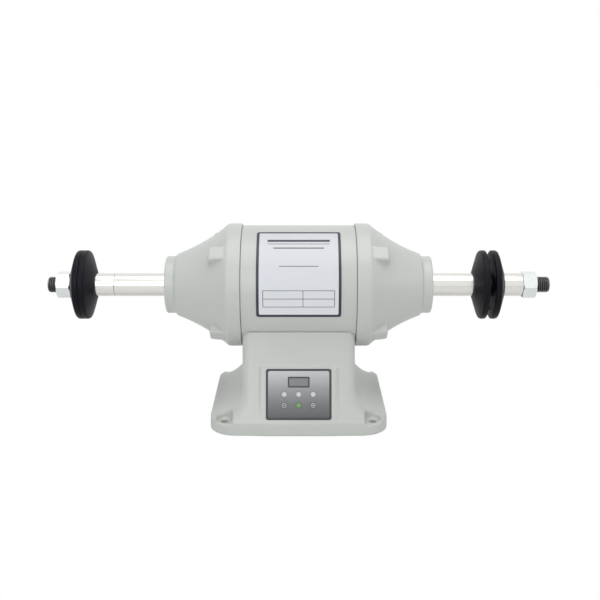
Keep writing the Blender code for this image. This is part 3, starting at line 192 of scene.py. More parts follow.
# %% [markdown]
# A lathe leaves rings. Rings could be drawn as waves, but a noise that is squeezed round
# the axis gives lines of uneven strength, as a real cut does.

# %% Turning lines
TURNING_BUMP = 0.0002
AROUND_SCALE = 0.012


def make_turning_group():
    """Rings left by a lathe or a grinder, round the machine's axis."""
    group, start, end = new_group("turning_lines", (("Scale", 2600.0), ("Depth", 0.05)),
                                  (("Normal", "NodeSocketVector"), ("Shade", "NodeSocketFloat")))
    coords = group.nodes.new("ShaderNodeTexCoord")
    stretch = group.nodes.new("ShaderNodeMapping")
    stretch.inputs["Scale"].default_value = (1, AROUND_SCALE, AROUND_SCALE)
    lines = group.nodes.new("ShaderNodeTexNoise")
    lines.inputs["Detail"].default_value = 2
    bump = group.nodes.new("ShaderNodeBump")
    bump.inputs["Distance"].default_value = TURNING_BUMP
    group.links.new(coords.outputs["Object"], stretch.inputs["Vector"])
    group.links.new(stretch.outputs["Vector"], lines.inputs["Vector"])
    group.links.new(start.outputs["Scale"], lines.inputs["Scale"])
    group.links.new(lines.outputs[0], bump.inputs["Height"])
    group.links.new(start.outputs["Depth"], bump.inputs["Strength"])
    group.links.new(bump.outputs["Normal"], end.inputs["Normal"])
    group.links.new(lines.outputs[0], end.inputs["Shade"])
    return group


# %% [markdown]
# Paint and plating thin out on raised edges. Pointiness finds the edges, and a noise
# breaks the line, so that the wear looks rubbed and not drawn.

# %% Edge wear
EDGE_START = 0.52
EDGE_FULL = 0.60


def make_wear_group():
    """A broken mask along raised edges."""
    group, start, end = new_group("edge_wear", (("Amount", 0.5), ("Scale", 300.0)),
                                  (("Mask", "NodeSocketFloat"),))
    geometry = group.nodes.new("ShaderNodeNewGeometry")
    raised = group.nodes.new("ShaderNodeMapRange")
    raised.inputs["From Min"].default_value = EDGE_START
    raised.inputs["From Max"].default_value = EDGE_FULL
    coords = group.nodes.new("ShaderNodeTexCoord")
    chips = group.nodes.new("ShaderNodeTexNoise")
    chips.inputs["Detail"].default_value = 5
    broken = group.nodes.new("ShaderNodeMath")
    broken.operation = "MULTIPLY"
    final = group.nodes.new("ShaderNodeMath")
    final.operation = "MULTIPLY"
    group.links.new(geometry.outputs["Pointiness"], raised.inputs["Value"])
    group.links.new(coords.outputs["Object"], chips.inputs["Vector"])
    group.links.new(start.outputs["Scale"], chips.inputs["Scale"])
    group.links.new(raised.outputs["Result"], broken.inputs[0])
    group.links.new(chips.outputs[0], broken.inputs[1])
    group.links.new(broken.outputs[0], final.inputs[0])
    group.links.new(start.outputs["Amount"], final.inputs[1])
    group.links.new(final.outputs[0], end.inputs["Mask"])
    return group


GRAIN = make_grain_group()
TURNING = make_turning_group()
WEAR = make_wear_group()
print("groups", [group.name for group in (GRAIN, TURNING, WEAR)])


# %% [markdown]
# ## Finishes
# Paint, plating, ground steel, rubber and plastic differ in colour, gloss and grain,
# and share one recipe: two close colours mixed by the slow shade, a lighter or darker
# wear colour on the edges, and a roughness that moves a little with the shade.

# %% Placing a group and mixing colours
def place_group(tree, group, values):
    """One use of a shader group, with its own values."""
    node = tree.nodes.new("ShaderNodeGroup")
    node.node_tree = group
    for label, value in values.items():
        node.inputs[label].default_value = value
    return node


def mix_colours(tree, factor, first, second):
    """A colour mix; either colour may be a value or another node's output."""
    mix = tree.nodes.new("ShaderNodeMix")
    mix.data_type = "RGBA"
    tree.links.new(factor, mix.inputs["Factor"])
    for socket, colour in ((mix.inputs[6], first), (mix.inputs[7], second)):
        if isinstance(colour, tuple):
            socket.default_value = (*colour, 1)
        else:
            tree.links.new(colour, socket)
    return mix.outputs[2]


# %% The recipe for a finish
ROUGHNESS_SWING = 0.15


def make_finish(name, colour, shade, roughness, metallic=0.0, worn=None, wear=0.5, coat=0.0,
                specular=0.5, effect=None, values=None):
    """A Principled material with grain or turning lines, and wear on its edges."""
    material = bpy.data.materials.new(name)
    material.use_nodes = True
    tree = material.node_tree
    shader = tree.nodes["Principled BSDF"]
    shader.inputs["Metallic"].default_value = metallic
    shader.inputs["Coat Weight"].default_value = coat
    shader.inputs["Specular IOR Level"].default_value = specular
    texture = place_group(tree, effect or GRAIN, values or {})
    mixed = mix_colours(tree, texture.outputs["Shade"], colour, shade)
    if worn:
        mask = place_group(tree, WEAR, {"Amount": wear})
        mixed = mix_colours(tree, mask.outputs["Mask"], mixed, worn)
    tree.links.new(mixed, shader.inputs["Base Color"])
    rough = tree.nodes.new("ShaderNodeMapRange")
    rough.inputs["To Min"].default_value = roughness * (1 - ROUGHNESS_SWING)
    rough.inputs["To Max"].default_value = roughness * (1 + ROUGHNESS_SWING)
    tree.links.new(texture.outputs["Shade"], rough.inputs["Value"])
    tree.links.new(rough.outputs["Result"], shader.inputs["Roughness"])
    tree.links.new(texture.outputs["Normal"], shader.inputs["Normal"])
    return material


# %% [markdown]
# The castings have a pale grey enamel with a soft gloss, which two close greys and a
# thin coat give. Bare steel is bright and a little warm, zinc is colder, and the
# blackened flanges reflect hardly anything. The inside pieces get the colours that
# windings, cores and boards have.

# %% The finishes of this machine
PAINT = make_finish("casting_paint", (0.535, 0.558, 0.530), (0.518, 0.540, 0.512), 0.38,
                    worn=(0.62, 0.65, 0.61), wear=0.5, coat=0.15,
                    values={"Scale": 420.0, "Depth": 0.16, "Blotch": 14.0})
SHAFT_STEEL = make_finish("ground_steel", (0.80, 0.79, 0.75), (0.72, 0.71, 0.68), 0.20, metallic=1.0,
                          effect=TURNING, values={"Scale": 2200.0, "Depth": 0.10})
THREAD_STEEL = make_finish("thread_steel", (0.085, 0.083, 0.085), (0.05, 0.05, 0.052), 0.42,
                           metallic=0.85, worn=(0.42, 0.42, 0.42), wear=1.2,
                           values={"Scale": 1500.0, "Depth": 0.2, "Blotch": 120.0})
ZINC = make_finish("bright_zinc", (0.80, 0.83, 0.83), (0.74, 0.77, 0.77), 0.26, metallic=1.0,
                   worn=(0.9, 0.9, 0.9), wear=0.4,
                   values={"Scale": 800.0, "Depth": 0.12, "Blotch": 90.0})
FLANGE_BLACK = make_finish("black_finish", (0.003, 0.003, 0.006), (0.006, 0.006, 0.009), 0.42,
                           worn=(0.06, 0.06, 0.07), wear=0.5, specular=0.12,
                           effect=TURNING, values={"Scale": 1300.0, "Depth": 0.15})
RUBBER = make_finish("seal_rubber", (0.02, 0.02, 0.02), (0.032, 0.032, 0.032), 0.7,
                     values={"Scale": 1200.0, "Depth": 0.2, "Blotch": 60.0})
BOLT_BLACK = make_finish("bolt_black", (0.03, 0.03, 0.032), (0.05, 0.05, 0.05), 0.45, metallic=0.6,
                         worn=(0.2, 0.2, 0.2), values={"Scale": 1400.0, "Depth": 0.2})
BEARING_STEEL = make_finish("bearing_steel", (0.66, 0.67, 0.68), (0.58, 0.59, 0.6), 0.2,
                            metallic=1.0, effect=TURNING, values={"Scale": 2400.0, "Depth": 0.06})
CORE_STEEL = make_finish("core_steel", (0.34, 0.35, 0.36), (0.22, 0.23, 0.24), 0.5, metallic=0.9,
                         effect=TURNING, values={"Scale": 1900.0, "Depth": 0.5})
COPPER = make_finish("winding_copper", (0.62, 0.24, 0.11), (0.42, 0.14, 0.06), 0.35, metallic=0.7,
                     coat=0.4, effect=TURNING, values={"Scale": 1100.0, "Depth": 0.6})
BOARD = make_finish("circuit_board", (0.02, 0.12, 0.05), (0.03, 0.16, 0.07), 0.4,
                    values={"Scale": 700.0, "Depth": 0.15, "Blotch": 200.0})
ALLOY = make_finish("module_alloy", (0.55, 0.56, 0.57), (0.46, 0.47, 0.48), 0.45, metallic=0.9,
                    values={"Scale": 900.0, "Depth": 0.25, "Blotch": 60.0})
SHEET = make_finish("sheet_steel", (0.5, 0.51, 0.51), (0.42, 0.43, 0.43), 0.38, metallic=0.9,
                    values={"Scale": 500.0, "Depth": 0.1, "Blotch": 40.0})
BEZEL = make_finish("bezel_plastic", (0.028, 0.029, 0.032), (0.04, 0.041, 0.045), 0.42,
                    worn=(0.09, 0.09, 0.1), wear=0.4,
                    values={"Scale": 1600.0, "Depth": 0.25, "Blotch": 80.0})
NAVY = make_finish("label_navy", (0.018, 0.022, 0.045), (0.026, 0.030, 0.056), 0.42,
                   values={"Scale": 900.0, "Depth": 0.04, "Blotch": 70.0})
WHITE = make_finish("button_white", (0.62, 0.64, 0.68), (0.55, 0.57, 0.60), 0.38,
                    values={"Scale": 1800.0, "Depth": 0.08, "Blotch": 300.0})
GREEN = make_finish("button_green", (0.20, 0.36, 0.12), (0.15, 0.29, 0.09), 0.38,
                    values={"Scale": 1800.0, "Depth": 0.08, "Blotch": 300.0})
GREY = make_finish("button_grey", (0.075, 0.08, 0.085), (0.10, 0.105, 0.11), 0.4,
                   values={"Scale": 1800.0, "Depth": 0.08, "Blotch": 300.0})
DISPLAY = make_finish("display_grey", (0.205, 0.225, 0.225), (0.175, 0.19, 0.19), 0.12, coat=0.6,
                      values={"Scale": 1500.0, "Depth": 0.02, "Blotch": 120.0})
print("finishes", len(bpy.data.materials))


# %% [markdown]
# The panel plate is painted light at the top and dark at the bottom, a painted reflection,
# and the silver nameplate gets painted shading a little the other way. A picture could
# hold such a fade, but a colour ramp on the piece's own height needs no file and stays sharp.

# %% Painted reflection and shading by height
def make_painted_light_fade(name, low, high, stops, roughness, metallic, coat=0.0):
    """A finish whose colour follows height, between two heights, for painted reflection and painted
    shading.
    """
    material = make_finish(name, stops[0][1], stops[0][1], roughness, metallic=metallic, coat=coat,
                           values={"Scale": 1500.0, "Depth": 0.03, "Blotch": 60.0})
    tree = material.node_tree
    coords = tree.nodes.new("ShaderNodeTexCoord")
    split = tree.nodes.new("ShaderNodeSeparateXYZ")
    span = tree.nodes.new("ShaderNodeMapRange")
    span.inputs["From Min"].default_value = low
    span.inputs["From Max"].default_value = high
    ramp = tree.nodes.new("ShaderNodeValToRGB")
    while len(ramp.color_ramp.elements) < len(stops):
        ramp.color_ramp.elements.new(0.5)
    for element, (place, colour) in zip(ramp.color_ramp.elements, stops):
        element.position = place
        element.color = (*colour, 1)
    tree.links.new(coords.outputs["Object"], split.inputs[0])
    tree.links.new(split.outputs["Z"], span.inputs["Value"])
    tree.links.new(span.outputs["Result"], ramp.inputs["Fac"])
    tree.links.new(ramp.outputs["Color"], tree.nodes["Principled BSDF"].inputs["Base Color"])
    return material


plate_low, plate_high = (corner[2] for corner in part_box("control_plate"))
# painted reflection: the plate runs from dark grey at the bottom to light silver at the top
PANEL_PAINTED_REFLECTION = make_painted_light_fade("panel_grey", plate_low, plate_high,
                        [(0.0, (0.085, 0.093, 0.097)), (0.30, (0.15, 0.158, 0.165)),
                         (0.62, (0.27, 0.28, 0.285)), (1.0, (0.47, 0.48, 0.49))], 0.36, 0.25)
label_low, label_high = (corner[2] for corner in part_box("nameplate"))
# painted shading: the silver field is lighter at the bottom and darker towards the top
LABEL_PAINTED_SHADING = make_painted_light_fade("label_silver", label_low, label_high,
                   [(0.0, (0.74, 0.76, 0.78)), (0.45, (0.66, 0.68, 0.71)),
                    (1.0, (0.60, 0.61, 0.64))], 0.40, 0.0)
print("panel fades over", plate_high - plate_low, "nameplate over", label_high - label_low)


# %% [markdown]
# ## Making and placing pieces
# Each new piece stands at the origin with its place in its mesh, rides on a body, and
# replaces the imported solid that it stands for.

# %% Placing a piece
SMOOTH_ANGLE = math.radians(35)


def add_piece(name, bm, material, body, slot, stands_for=()):
    """Turns a bmesh into a finished piece on a body."""
    mesh = bpy.data.meshes.new(name)
    bm.to_mesh(mesh)
    bm.free()
    piece = bpy.data.objects.new(name, mesh)
    bpy.context.collection.objects.link(piece)
    mesh.materials.append(material)
    mesh.shade_smooth()
    mesh.set_sharp_from_angle(angle=SMOOTH_ANGLE)
    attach(piece, body)
    if stands_for:
        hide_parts(*stands_for)
    return piece


# %% [markdown]
# Cuts, joins and softening are easiest as modifiers, because their result is clean and
# closed. A scratch object carries them, its result becomes a new bmesh, and the scratch
# shapes are thrown away, so that every finished piece is plain mesh.

# %% Scratch modifiers
def scratch_object(bm):
    """A passing object that holds a bmesh."""
    mesh = bpy.data.meshes.new("scratch")
    bm.to_mesh(mesh)
    bm.free()
    scratch = bpy.data.objects.new("scratch", mesh)
    bpy.context.collection.objects.link(scratch)
    return scratch


def settled(bm, *steps):
    """A bmesh after modifiers: each step adds one and returns the object it uses, if any."""
    scratch = scratch_object(bm)
    used = [step(scratch) for step in steps]
    bpy.context.view_layer.update()
    graph = bpy.context.evaluated_depsgraph_get()
    made = bmesh.new()
    made.from_mesh(bpy.data.meshes.new_from_object(scratch.evaluated_get(graph)))
    for passing in (scratch, *filter(None, used)):
        bpy.data.objects.remove(passing)
    return made


def cut_with(cutter_bm, operation="DIFFERENCE"):
    """A modifier step that cuts or joins with a closed bmesh."""
    def step(target):
        made = target.modifiers.new("cut", "BOOLEAN")
        made.operation = operation
        made.solver = "EXACT"
        made.object = scratch_object(cutter_bm)
        return made.object
    return step


def voxel_casting(size, rounds):
    """A modifier step that melts joined shapes into one soft casting."""
    def step(target):
        remesh = target.modifiers.new("melt", "REMESH")
        remesh.mode = "VOXEL"
        remesh.voxel_size = size
        smooth = target.modifiers.new("soften", "SMOOTH")
        smooth.factor = 0.5
        smooth.iterations = rounds
    return step


# %% [markdown]
# Most of the machine is turned, so its pieces start as an outline that is spun round the
# shaft's axis. The corners of an outline are rounded first, which costs less than a
# bevel and keeps each rounding at its own size.

# %% Turned shapes
MERGE = 0.000001


def soft_corners(corners, closed=False, steps=4):
    """Rounds the (x, radius, rounding) corners of an outline into short curves."""
    points = []
    count = len(corners)
    for index, (x, radius, rounding) in enumerate(corners):
        here = Vector((x, radius))
        end = index in (0, count - 1) and not closed
        if rounding == 0 or end:
            points.append((x, radius))
            continue
        before = Vector(corners[index - 1][:2])
        after = Vector(corners[(index + 1) % count][:2])
        start = here + (before - here).normalized() * rounding
        finish = here + (after - here).normalized() * rounding
        for step in range(steps + 1):
            share = step / steps
            points.append(tuple(start.lerp(here, share).lerp(here.lerp(finish, share), share)))
    return points


def turned(outline, closed=False, steps=96):
    """Spins an (x, radius) outline round the machine's axis."""
    bm = bmesh.new()
    verts = [bm.verts.new((x, 0, radius)) for x, radius in outline]
    edges = [bm.edges.new(pair) for pair in zip(verts, verts[1:])]
    if closed:
        edges.append(bm.edges.new((verts[-1], verts[0])))
    bmesh.ops.spin(bm, geom=verts + edges, cent=(0, 0, 0), axis=(1, 0, 0), dvec=(0, 0, 0),
                   angle=math.tau, steps=steps, use_merge=True)
    bmesh.ops.remove_doubles(bm, verts=bm.verts, dist=MERGE)
    bmesh.ops.recalc_face_normals(bm, faces=bm.faces)
    bmesh.ops.translate(bm, verts=bm.verts, vec=AXIS)
    return bm


# %% Cylinders and boxes
def cylinder(start, end, radius, steps=32):
    """A closed cylinder between two points."""
    start, end = Vector(start), Vector(end)
    bm = bmesh.new()
    turn = (end - start).to_track_quat("Z", "Y").to_matrix().to_4x4()
    place = Matrix.Translation((start + end) / 2) @ turn
    bmesh.ops.create_cone(bm, cap_ends=True, segments=steps, radius1=radius, radius2=radius,
                          depth=(end - start).length, matrix=place)
    return bm


def soft_box(low, high, edge, segments=3):
    """A box between two corners with rounded edges."""
    bm = bmesh.new()
    low, high = Vector(low), Vector(high)
    bmesh.ops.create_cube(bm, size=1)
    bmesh.ops.scale(bm, vec=high - low, verts=bm.verts)
    bmesh.ops.translate(bm, verts=bm.verts, vec=(low + high) / 2)
    if edge:
        bmesh.ops.bevel(bm, geom=bm.edges[:], offset=edge, segments=segments, profile=0.5,
                        affect="EDGES", material=-1)
    return bm


# %% Sheets
def flat_sheet(width, height, corner):
    """A flat rectangle at the origin, with rounded corners if any."""
    bm = bmesh.new()
    bmesh.ops.create_grid(bm, x_segments=1, y_segments=1, size=0.5)
    bmesh.ops.scale(bm, vec=(width, height, 1), verts=bm.verts)
    if corner:
        bmesh.ops.bevel(bm, geom=bm.verts[:], offset=corner, segments=6, profile=0.5,
                        affect="VERTICES", material=-1)
    return bm


def thicken(bm, depth):
    """Lifts a flat sheet's face and closes the sides."""
    top = bmesh.ops.extrude_face_region(bm, geom=bm.faces[:])
    raised = [item for item in top["geom"] if isinstance(item, bmesh.types.BMVert)]
    bmesh.ops.translate(bm, verts=raised, vec=(0, 0, depth))
    bmesh.ops.recalc_face_normals(bm, faces=bm.faces)


# %% [markdown]
# ## The floor
# A plain pale sheet lights the machine from below and gives the polished shaft something
# to mirror. The photograph is cut out on white, so the camera itself sees only white.

# %% Floor
FLOOR_SIZE = 6.0
FLOOR_DROP = 0.0005
floor_bm = bmesh.new()
bmesh.ops.create_grid(floor_bm, x_segments=1, y_segments=1, size=FLOOR_SIZE / 2)
floor_mesh = bpy.data.meshes.new("floor")
floor_bm.to_mesh(floor_mesh)
floor_bm.free()
floor = bpy.data.objects.new("floor", floor_mesh)
bpy.context.collection.objects.link(floor)
floor.location.z = -FLOOR_DROP
floor_paper = make_finish("floor_paper", (0.92, 0.92, 0.92), (0.90, 0.90, 0.90), 0.8,
                          values={"Scale": 200.0, "Depth": 0.02, "Blotch": 3.0})
tree = floor_paper.node_tree
seen_directly = tree.nodes.new("ShaderNodeLightPath")
white = tree.nodes.new("ShaderNodeEmission")
either = tree.nodes.new("ShaderNodeMixShader")
tree.links.new(seen_directly.outputs["Is Camera Ray"], either.inputs["Fac"])
tree.links.new(tree.nodes["Principled BSDF"].outputs["BSDF"], either.inputs[1])
tree.links.new(white.outputs["Emission"], either.inputs[2])
tree.links.new(either.outputs["Shader"], tree.nodes["Material Output"].inputs["Surface"])
floor_mesh.materials.append(floor_paper)
print("floor", FLOOR_SIZE)


# %% [markdown]
# ## The motor barrel
# The barrel is a plain rolled tube that fills the space between the two end bells, with
# a thin joint on both sides. A stretched cylinder would have sharp ends, so the tube's
# wall is spun as a closed outline with softened corners.

# %% Barrel
SEAM = 0.0004
BARREL_EDGE = 0.0012
BARREL_INNER_EDGE = 0.0005
barrel_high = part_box("motor_barrel")[1]
BARREL_HALF = barrel_high[0]
BARREL_RADIUS = barrel_high[2] - AXIS.z
BARREL_WALL = 0.007
barrel = turned(soft_corners([
    (-BARREL_HALF, BARREL_RADIUS - BARREL_WALL, BARREL_INNER_EDGE),
    (-BARREL_HALF, BARREL_RADIUS, BARREL_EDGE), (BARREL_HALF, BARREL_RADIUS, BARREL_EDGE),
    (BARREL_HALF, BARREL_RADIUS - BARREL_WALL, BARREL_INNER_EDGE),
], closed=True), closed=True, steps=160)
add_piece("barrel_shell", barrel, PAINT, "frame", "casting_paint", ["motor_barrel"])
print("barrel radius", BARREL_RADIUS, "half length", BARREL_HALF)


# %% [markdown]
# ## The end bells
# Each bell is a casting: a rim band, a cone that curves in to a small hub, and four
# bolt bosses. Turned and boxed shapes are joined, melted into one skin on a fine voxel
# grid, and softened, which gives the fillets that a sand casting has. The machined
# faces are cut afterwards, so that they stay crisp.

# %% Bolt bosses
RIM_RADIUS = 0.098
RIM_WIDTH = 0.0215
RIM_INNER_EDGE = 0.0012
RIM_EDGE = 0.002
HUB_RADIUS = 0.0455
HUB_START = 0.195
HUB_STEP = 0.001
HUB_EDGE = 0.0018
NECK_RADIUS = 0.049
CONE_HANDLE = (0.1505, 0.0645)
BOSS_WIDTH = 0.024
BOSS_INNER = 0.060
BOSS_OUTER = 0.0975
BOSS_DRAFT = 0.0045
BOSS_END = 0.1385
BOSS_EDGE = 0.0025
BOSS_ANGLES = (45, 135, 225, 315)
BOLT_PITCH_RADIUS = 0.082
POCKET_RADIUS = 0.0058
POCKET_DEPTH = 0.0085
SEAL_RADIUS = 0.026
SEAL_POCKET = 0.006
BELL_VOXEL = 0.0014
CONE_STEPS = 14
hub_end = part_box("right_end_bell")[1][0]


def boss_shape(degrees, side):
    """One drafted bolt boss, at its angle round the axis."""
    start = BARREL_HALF + RIM_WIDTH / 2
    bm = soft_box((start, -BOSS_WIDTH / 2, BOSS_INNER), (BOSS_END, BOSS_WIDTH / 2, BOSS_OUTER), 0)
    for vertex in bm.verts:
        if vertex.co.x > start + (BOSS_END - start) / 2 and vertex.co.z > BOSS_INNER + BOSS_DRAFT:
            vertex.co.z -= BOSS_DRAFT
    bmesh.ops.bevel(bm, geom=bm.edges[:], offset=BOSS_EDGE, segments=3, profile=0.5, affect="EDGES",
                    material=-1)
    turn = Matrix.Rotation(math.radians(degrees), 4, "X")
    flip = Matrix.Rotation(math.pi if side < 0 else 0, 4, "Z")
    bmesh.ops.transform(bm, matrix=Matrix.Translation(AXIS) @ turn @ flip, verts=bm.verts)
    return bm


def bolt_place(degrees):
    """A bolt's place round the axis."""
    angle = math.radians(degrees)
    return AXIS + Vector((0, -BOLT_PITCH_RADIUS * math.sin(angle), BOLT_PITCH_RADIUS * math.cos(angle)))


# %% The outline of a bell
def bell_outline(side):
    """The bell's outline: the rim, the cone that curves in, and the hub."""
    face = BARREL_HALF + SEAM
    rim = face + RIM_WIDTH
    corners = [(face, 0, 0), (face, RIM_RADIUS, RIM_INNER_EDGE), (rim, RIM_RADIUS, RIM_EDGE)]
    start, end = (rim, RIM_RADIUS), (HUB_START, NECK_RADIUS)
    for step in range(1, CONE_STEPS):
        share = step / CONE_STEPS
        rest = 1 - share
        x = rest * rest * start[0] + 2 * rest * share * CONE_HANDLE[0] + share * share * end[0]
        radius = (rest * rest * start[1] + 2 * rest * share * CONE_HANDLE[1] + share * share * end[1])
        corners.append((x, radius, 0))
    corners += [(HUB_START - HUB_STEP, NECK_RADIUS, 0), (HUB_START, HUB_RADIUS, HUB_STEP),
                (hub_end, HUB_RADIUS, HUB_EDGE), (hub_end, 0, 0)]
    return [(side * x, radius) for x, radius in soft_corners(corners)]


# %% Casting the bells
for side, name in ((-1, "left"), (1, "right")):
    steps = [cut_with(boss_shape(degrees, side), "UNION") for degrees in BOSS_ANGLES]
    bell = settled(turned(bell_outline(side), steps=128), *steps, voxel_casting(BELL_VOXEL, 5))
    face = side * (BARREL_HALF + SEAM)
    beyond = RIM_RADIUS * 1.2
    cuts = [cut_with(turned([(0, 0), (0, beyond), (face, beyond), (face, 0)]))]
    floor_x, mouth_x = side * hub_end - side * SEAL_POCKET, side * hub_end + side * SEAL_POCKET
    cuts.append(cut_with(turned([(floor_x, 0), (floor_x, SEAL_RADIUS), (mouth_x, SEAL_RADIUS),
                                 (mouth_x, 0)])))
    if side < 0:
        for degrees in BOSS_ANGLES:
            place = bolt_place(degrees)
            outer = Vector((side * (BOSS_END + POCKET_DEPTH), 0, 0))
            inner = Vector((side * (BOSS_END - POCKET_DEPTH), 0, 0))
            cuts.append(cut_with(cylinder(place + inner, place + outer, POCKET_RADIUS)))
    bell = settled(bell, *cuts)
    add_piece(f"{name}_bell_casting", bell, PAINT, "frame", "casting_paint", [f"{name}_end_bell"])
    print(name, "bell done")


# %% [markdown]
# ## The pedestal
# The pedestal is the hardest casting. From above, every level is a rounded rectangle:
# a low skirt with bowed long sides, a concave flare, and a column that leans in to the
# barrel. A subdivided cage could follow it, but rings at many heights keep each curve
# true to its own rule, and bridging them gives one closed skin.

# %% The levels of the pedestal
BASE_X, BASE_Y = 0.138, 0.128
BASE_EDGE = 0.0015
DRAFT_X, DRAFT_Y = 0.0005, 0.001
BASE_CORNER = 0.037
BASE_BOW = 0.004
SKIRT = 0.024
SKIRT_EDGE = 0.003
FLARE_INSET = 0.001
COLUMN_X, COLUMN_Y = 0.0872, 0.0795
COLUMN_TOP = 0.1525
COLUMN_CORNER = 0.013
TOP_ROUND = 0.009
TOP_NARROWING = 0.0042
FACE_HOLLOW = 0.0045
FOOT_Y = 0.1246
CORNER_POINTS = 10
SIDE_POINTS = 12
FLARE_LEVELS = 14
WALL_LEVELS = 6
TOP_LEVELS = 4


def face_depth(height):
    """How far the sloping front and rear stand out at a height."""
    rise = max(0.0, min(1.0, (COLUMN_TOP - height) / (COLUMN_TOP - SKIRT)))
    return COLUMN_Y + (FOOT_Y - COLUMN_Y) * rise - FACE_HOLLOW * 4 * rise * (1 - rise)


def level_ring(bm, height, half_x, half_y, corner, bow):
    """One closed rounded-rectangle ring of edges, with bowed long sides."""
    points = []
    for turn, (sx, sy) in enumerate(((1, 1), (-1, 1), (-1, -1), (1, -1))):
        for step in range(CORNER_POINTS + 1):
            angle = math.pi / 2 * (turn + step / CORNER_POINTS)
            points.append((sx * (half_x - corner) + corner * math.cos(angle),
                           sy * (half_y - corner) + corner * math.sin(angle)))
        if sx == sy:
            flat = half_x - corner
            for step in range(1, SIDE_POINTS):
                points.append((sx * flat * (1 - 2 * step / SIDE_POINTS), sy * half_y))
    verts = []
    for x, y in points:
        out = bow * (1 - (x / half_x) ** 2)
        verts.append(bm.verts.new((x, y + math.copysign(out, y), height)))
    return [bm.edges.new(pair) for pair in zip(verts, verts[1:] + verts[:1])]


# %% Stacking the levels
def pedestal_levels():
    """Height, half width, half depth, corner and bow of every level."""
    half_y = BASE_Y - BASE_BOW
    levels = [(0, BASE_X - BASE_EDGE, half_y - BASE_EDGE, BASE_CORNER, BASE_BOW),
              (BASE_EDGE, BASE_X, half_y, BASE_CORNER, BASE_BOW),
              (SKIRT * 0.6, BASE_X - DRAFT_X * 0.6, half_y - DRAFT_Y * 0.6, BASE_CORNER, BASE_BOW),
              (SKIRT - SKIRT_EDGE, BASE_X - DRAFT_X, half_y - DRAFT_Y, BASE_CORNER, BASE_BOW)]
    reach = BASE_X - FLARE_INSET
    flare = reach - COLUMN_X
    for step in range(FLARE_LEVELS + 1):
        angle = math.pi / 2 * step / FLARE_LEVELS
        share = step / FLARE_LEVELS
        height = SKIRT + flare * (1 - math.cos(angle))
        bow = BASE_BOW * (1 - share) ** 2
        corner = BASE_CORNER + (COLUMN_CORNER - BASE_CORNER) * share
        levels.append((height, reach - flare * math.sin(angle), face_depth(height) - bow, corner, bow))
    flare_top = levels[-1][0]
    straight = COLUMN_TOP - TOP_ROUND
    for step in range(1, WALL_LEVELS + 1):
        height = flare_top + (straight - flare_top) * step / WALL_LEVELS
        levels.append((height, COLUMN_X, face_depth(height), COLUMN_CORNER, 0))
    for step in range(1, TOP_LEVELS + 1):
        angle = math.pi / 2 * step / TOP_LEVELS
        height = straight + TOP_ROUND * math.sin(angle)
        levels.append((height, COLUMN_X - TOP_NARROWING * (1 - math.cos(angle)), face_depth(height),
                       COLUMN_CORNER, 0))
    return levels


def bridge_rings(bm, loops):
    """Closes a stack of rings into one skin."""
    for low, high in zip(loops, loops[1:]):
        bmesh.ops.bridge_loops(bm, edges=low + high)
    for ring in (loops[0], loops[-1]):
        bmesh.ops.contextual_create(bm, geom=ring)
    bmesh.ops.recalc_face_normals(bm, faces=bm.faces)


print("pedestal levels", len(pedestal_levels()))

# %% [markdown]
# The control panel lies on the sloping front. Its pieces are easiest to draw flat at the
# origin, so one matrix, taken from the direction in which the buttons are pushed, lays
# them all on the slope.

# %% The plane of the panel
PANEL_HEIGHT = 0.0625
panel_out = -Vector(joints["run_button_press"]["axis"]).normalized()
panel_tilt = math.atan2(-panel_out.y, panel_out.z)
panel_rise = (COLUMN_TOP - PANEL_HEIGHT) / (COLUMN_TOP - SKIRT)
panel_front = COLUMN_Y + (FOOT_Y - COLUMN_Y) * panel_rise
PANEL = Matrix.Translation((0, -panel_front, PANEL_HEIGHT)) @ Matrix.Rotation(panel_tilt, 4, "X")
print("panel leans", math.degrees(panel_tilt))


def on_panel(bm):
    """Moves a shape made flat at the origin onto the sloping panel."""
    bmesh.ops.transform(bm, matrix=PANEL, verts=bm.verts)
    return bm


# %% [markdown]
# The raised pad of the panel is joined to the skin, and a pocket that is open to the
# front or rear is cut above each bolt hole. Melting and softening come last, because
# they give the joins and pockets the fillets of a casting in one go.

# %% Casting the pedestal
PEDESTAL_VOXEL = 0.0017
PAD_HALF_WIDTH = 0.0595
PAD_BELOW, PAD_ABOVE = 0.0435, 0.0415
PAD_SUNK = 0.010
PAD_EDGE = 0.0022
HOLE_X, HOLE_Y = 0.1142, 0.110
FOOT_HEIGHT = 0.018
FOOT_RADIUS = 0.0125
FOOT_CUT_TOP = 0.075
OVERRUN = 0.004
FEET = [(x, y) for x in (-HOLE_X, HOLE_X) for y in (-HOLE_Y, HOLE_Y)]

pedestal = bmesh.new()
bridge_rings(pedestal, [level_ring(pedestal, *level) for level in pedestal_levels()])
pad = soft_box((-PAD_HALF_WIDTH, -PAD_BELOW, -PAD_SUNK), (PAD_HALF_WIDTH, PAD_ABOVE, 0), PAD_EDGE)
steps = [cut_with(on_panel(pad), "UNION")]
for x, y in FEET:
    reach = BASE_Y + OVERRUN - HOLE_Y
    middle = math.copysign(HOLE_Y + reach / 2, y)
    steps.append(cut_with(cylinder((x, y, FOOT_HEIGHT), (x, y, FOOT_CUT_TOP), FOOT_RADIUS, 48)))
    steps.append(cut_with(soft_box((x - FOOT_RADIUS, middle - reach / 2, FOOT_HEIGHT),
                                   (x + FOOT_RADIUS, middle + reach / 2, FOOT_CUT_TOP), 0)))
pedestal = settled(pedestal, *steps, voxel_casting(PEDESTAL_VOXEL, 6))
print("cast faces", len(pedestal.faces))

# %% [markdown]
# Machining comes after the softening: the saddle for the barrel, the flat underside,
# the four bolt holes, the rebate of the base cover, the recess that the panel drops
# into, and the bore of the cord gland at the back.

# %% Slabs in the plane of the panel
def grown(size, gap):
    """A size with a gap on every side."""
    return size[0] + gap * 2, size[1] + gap * 2


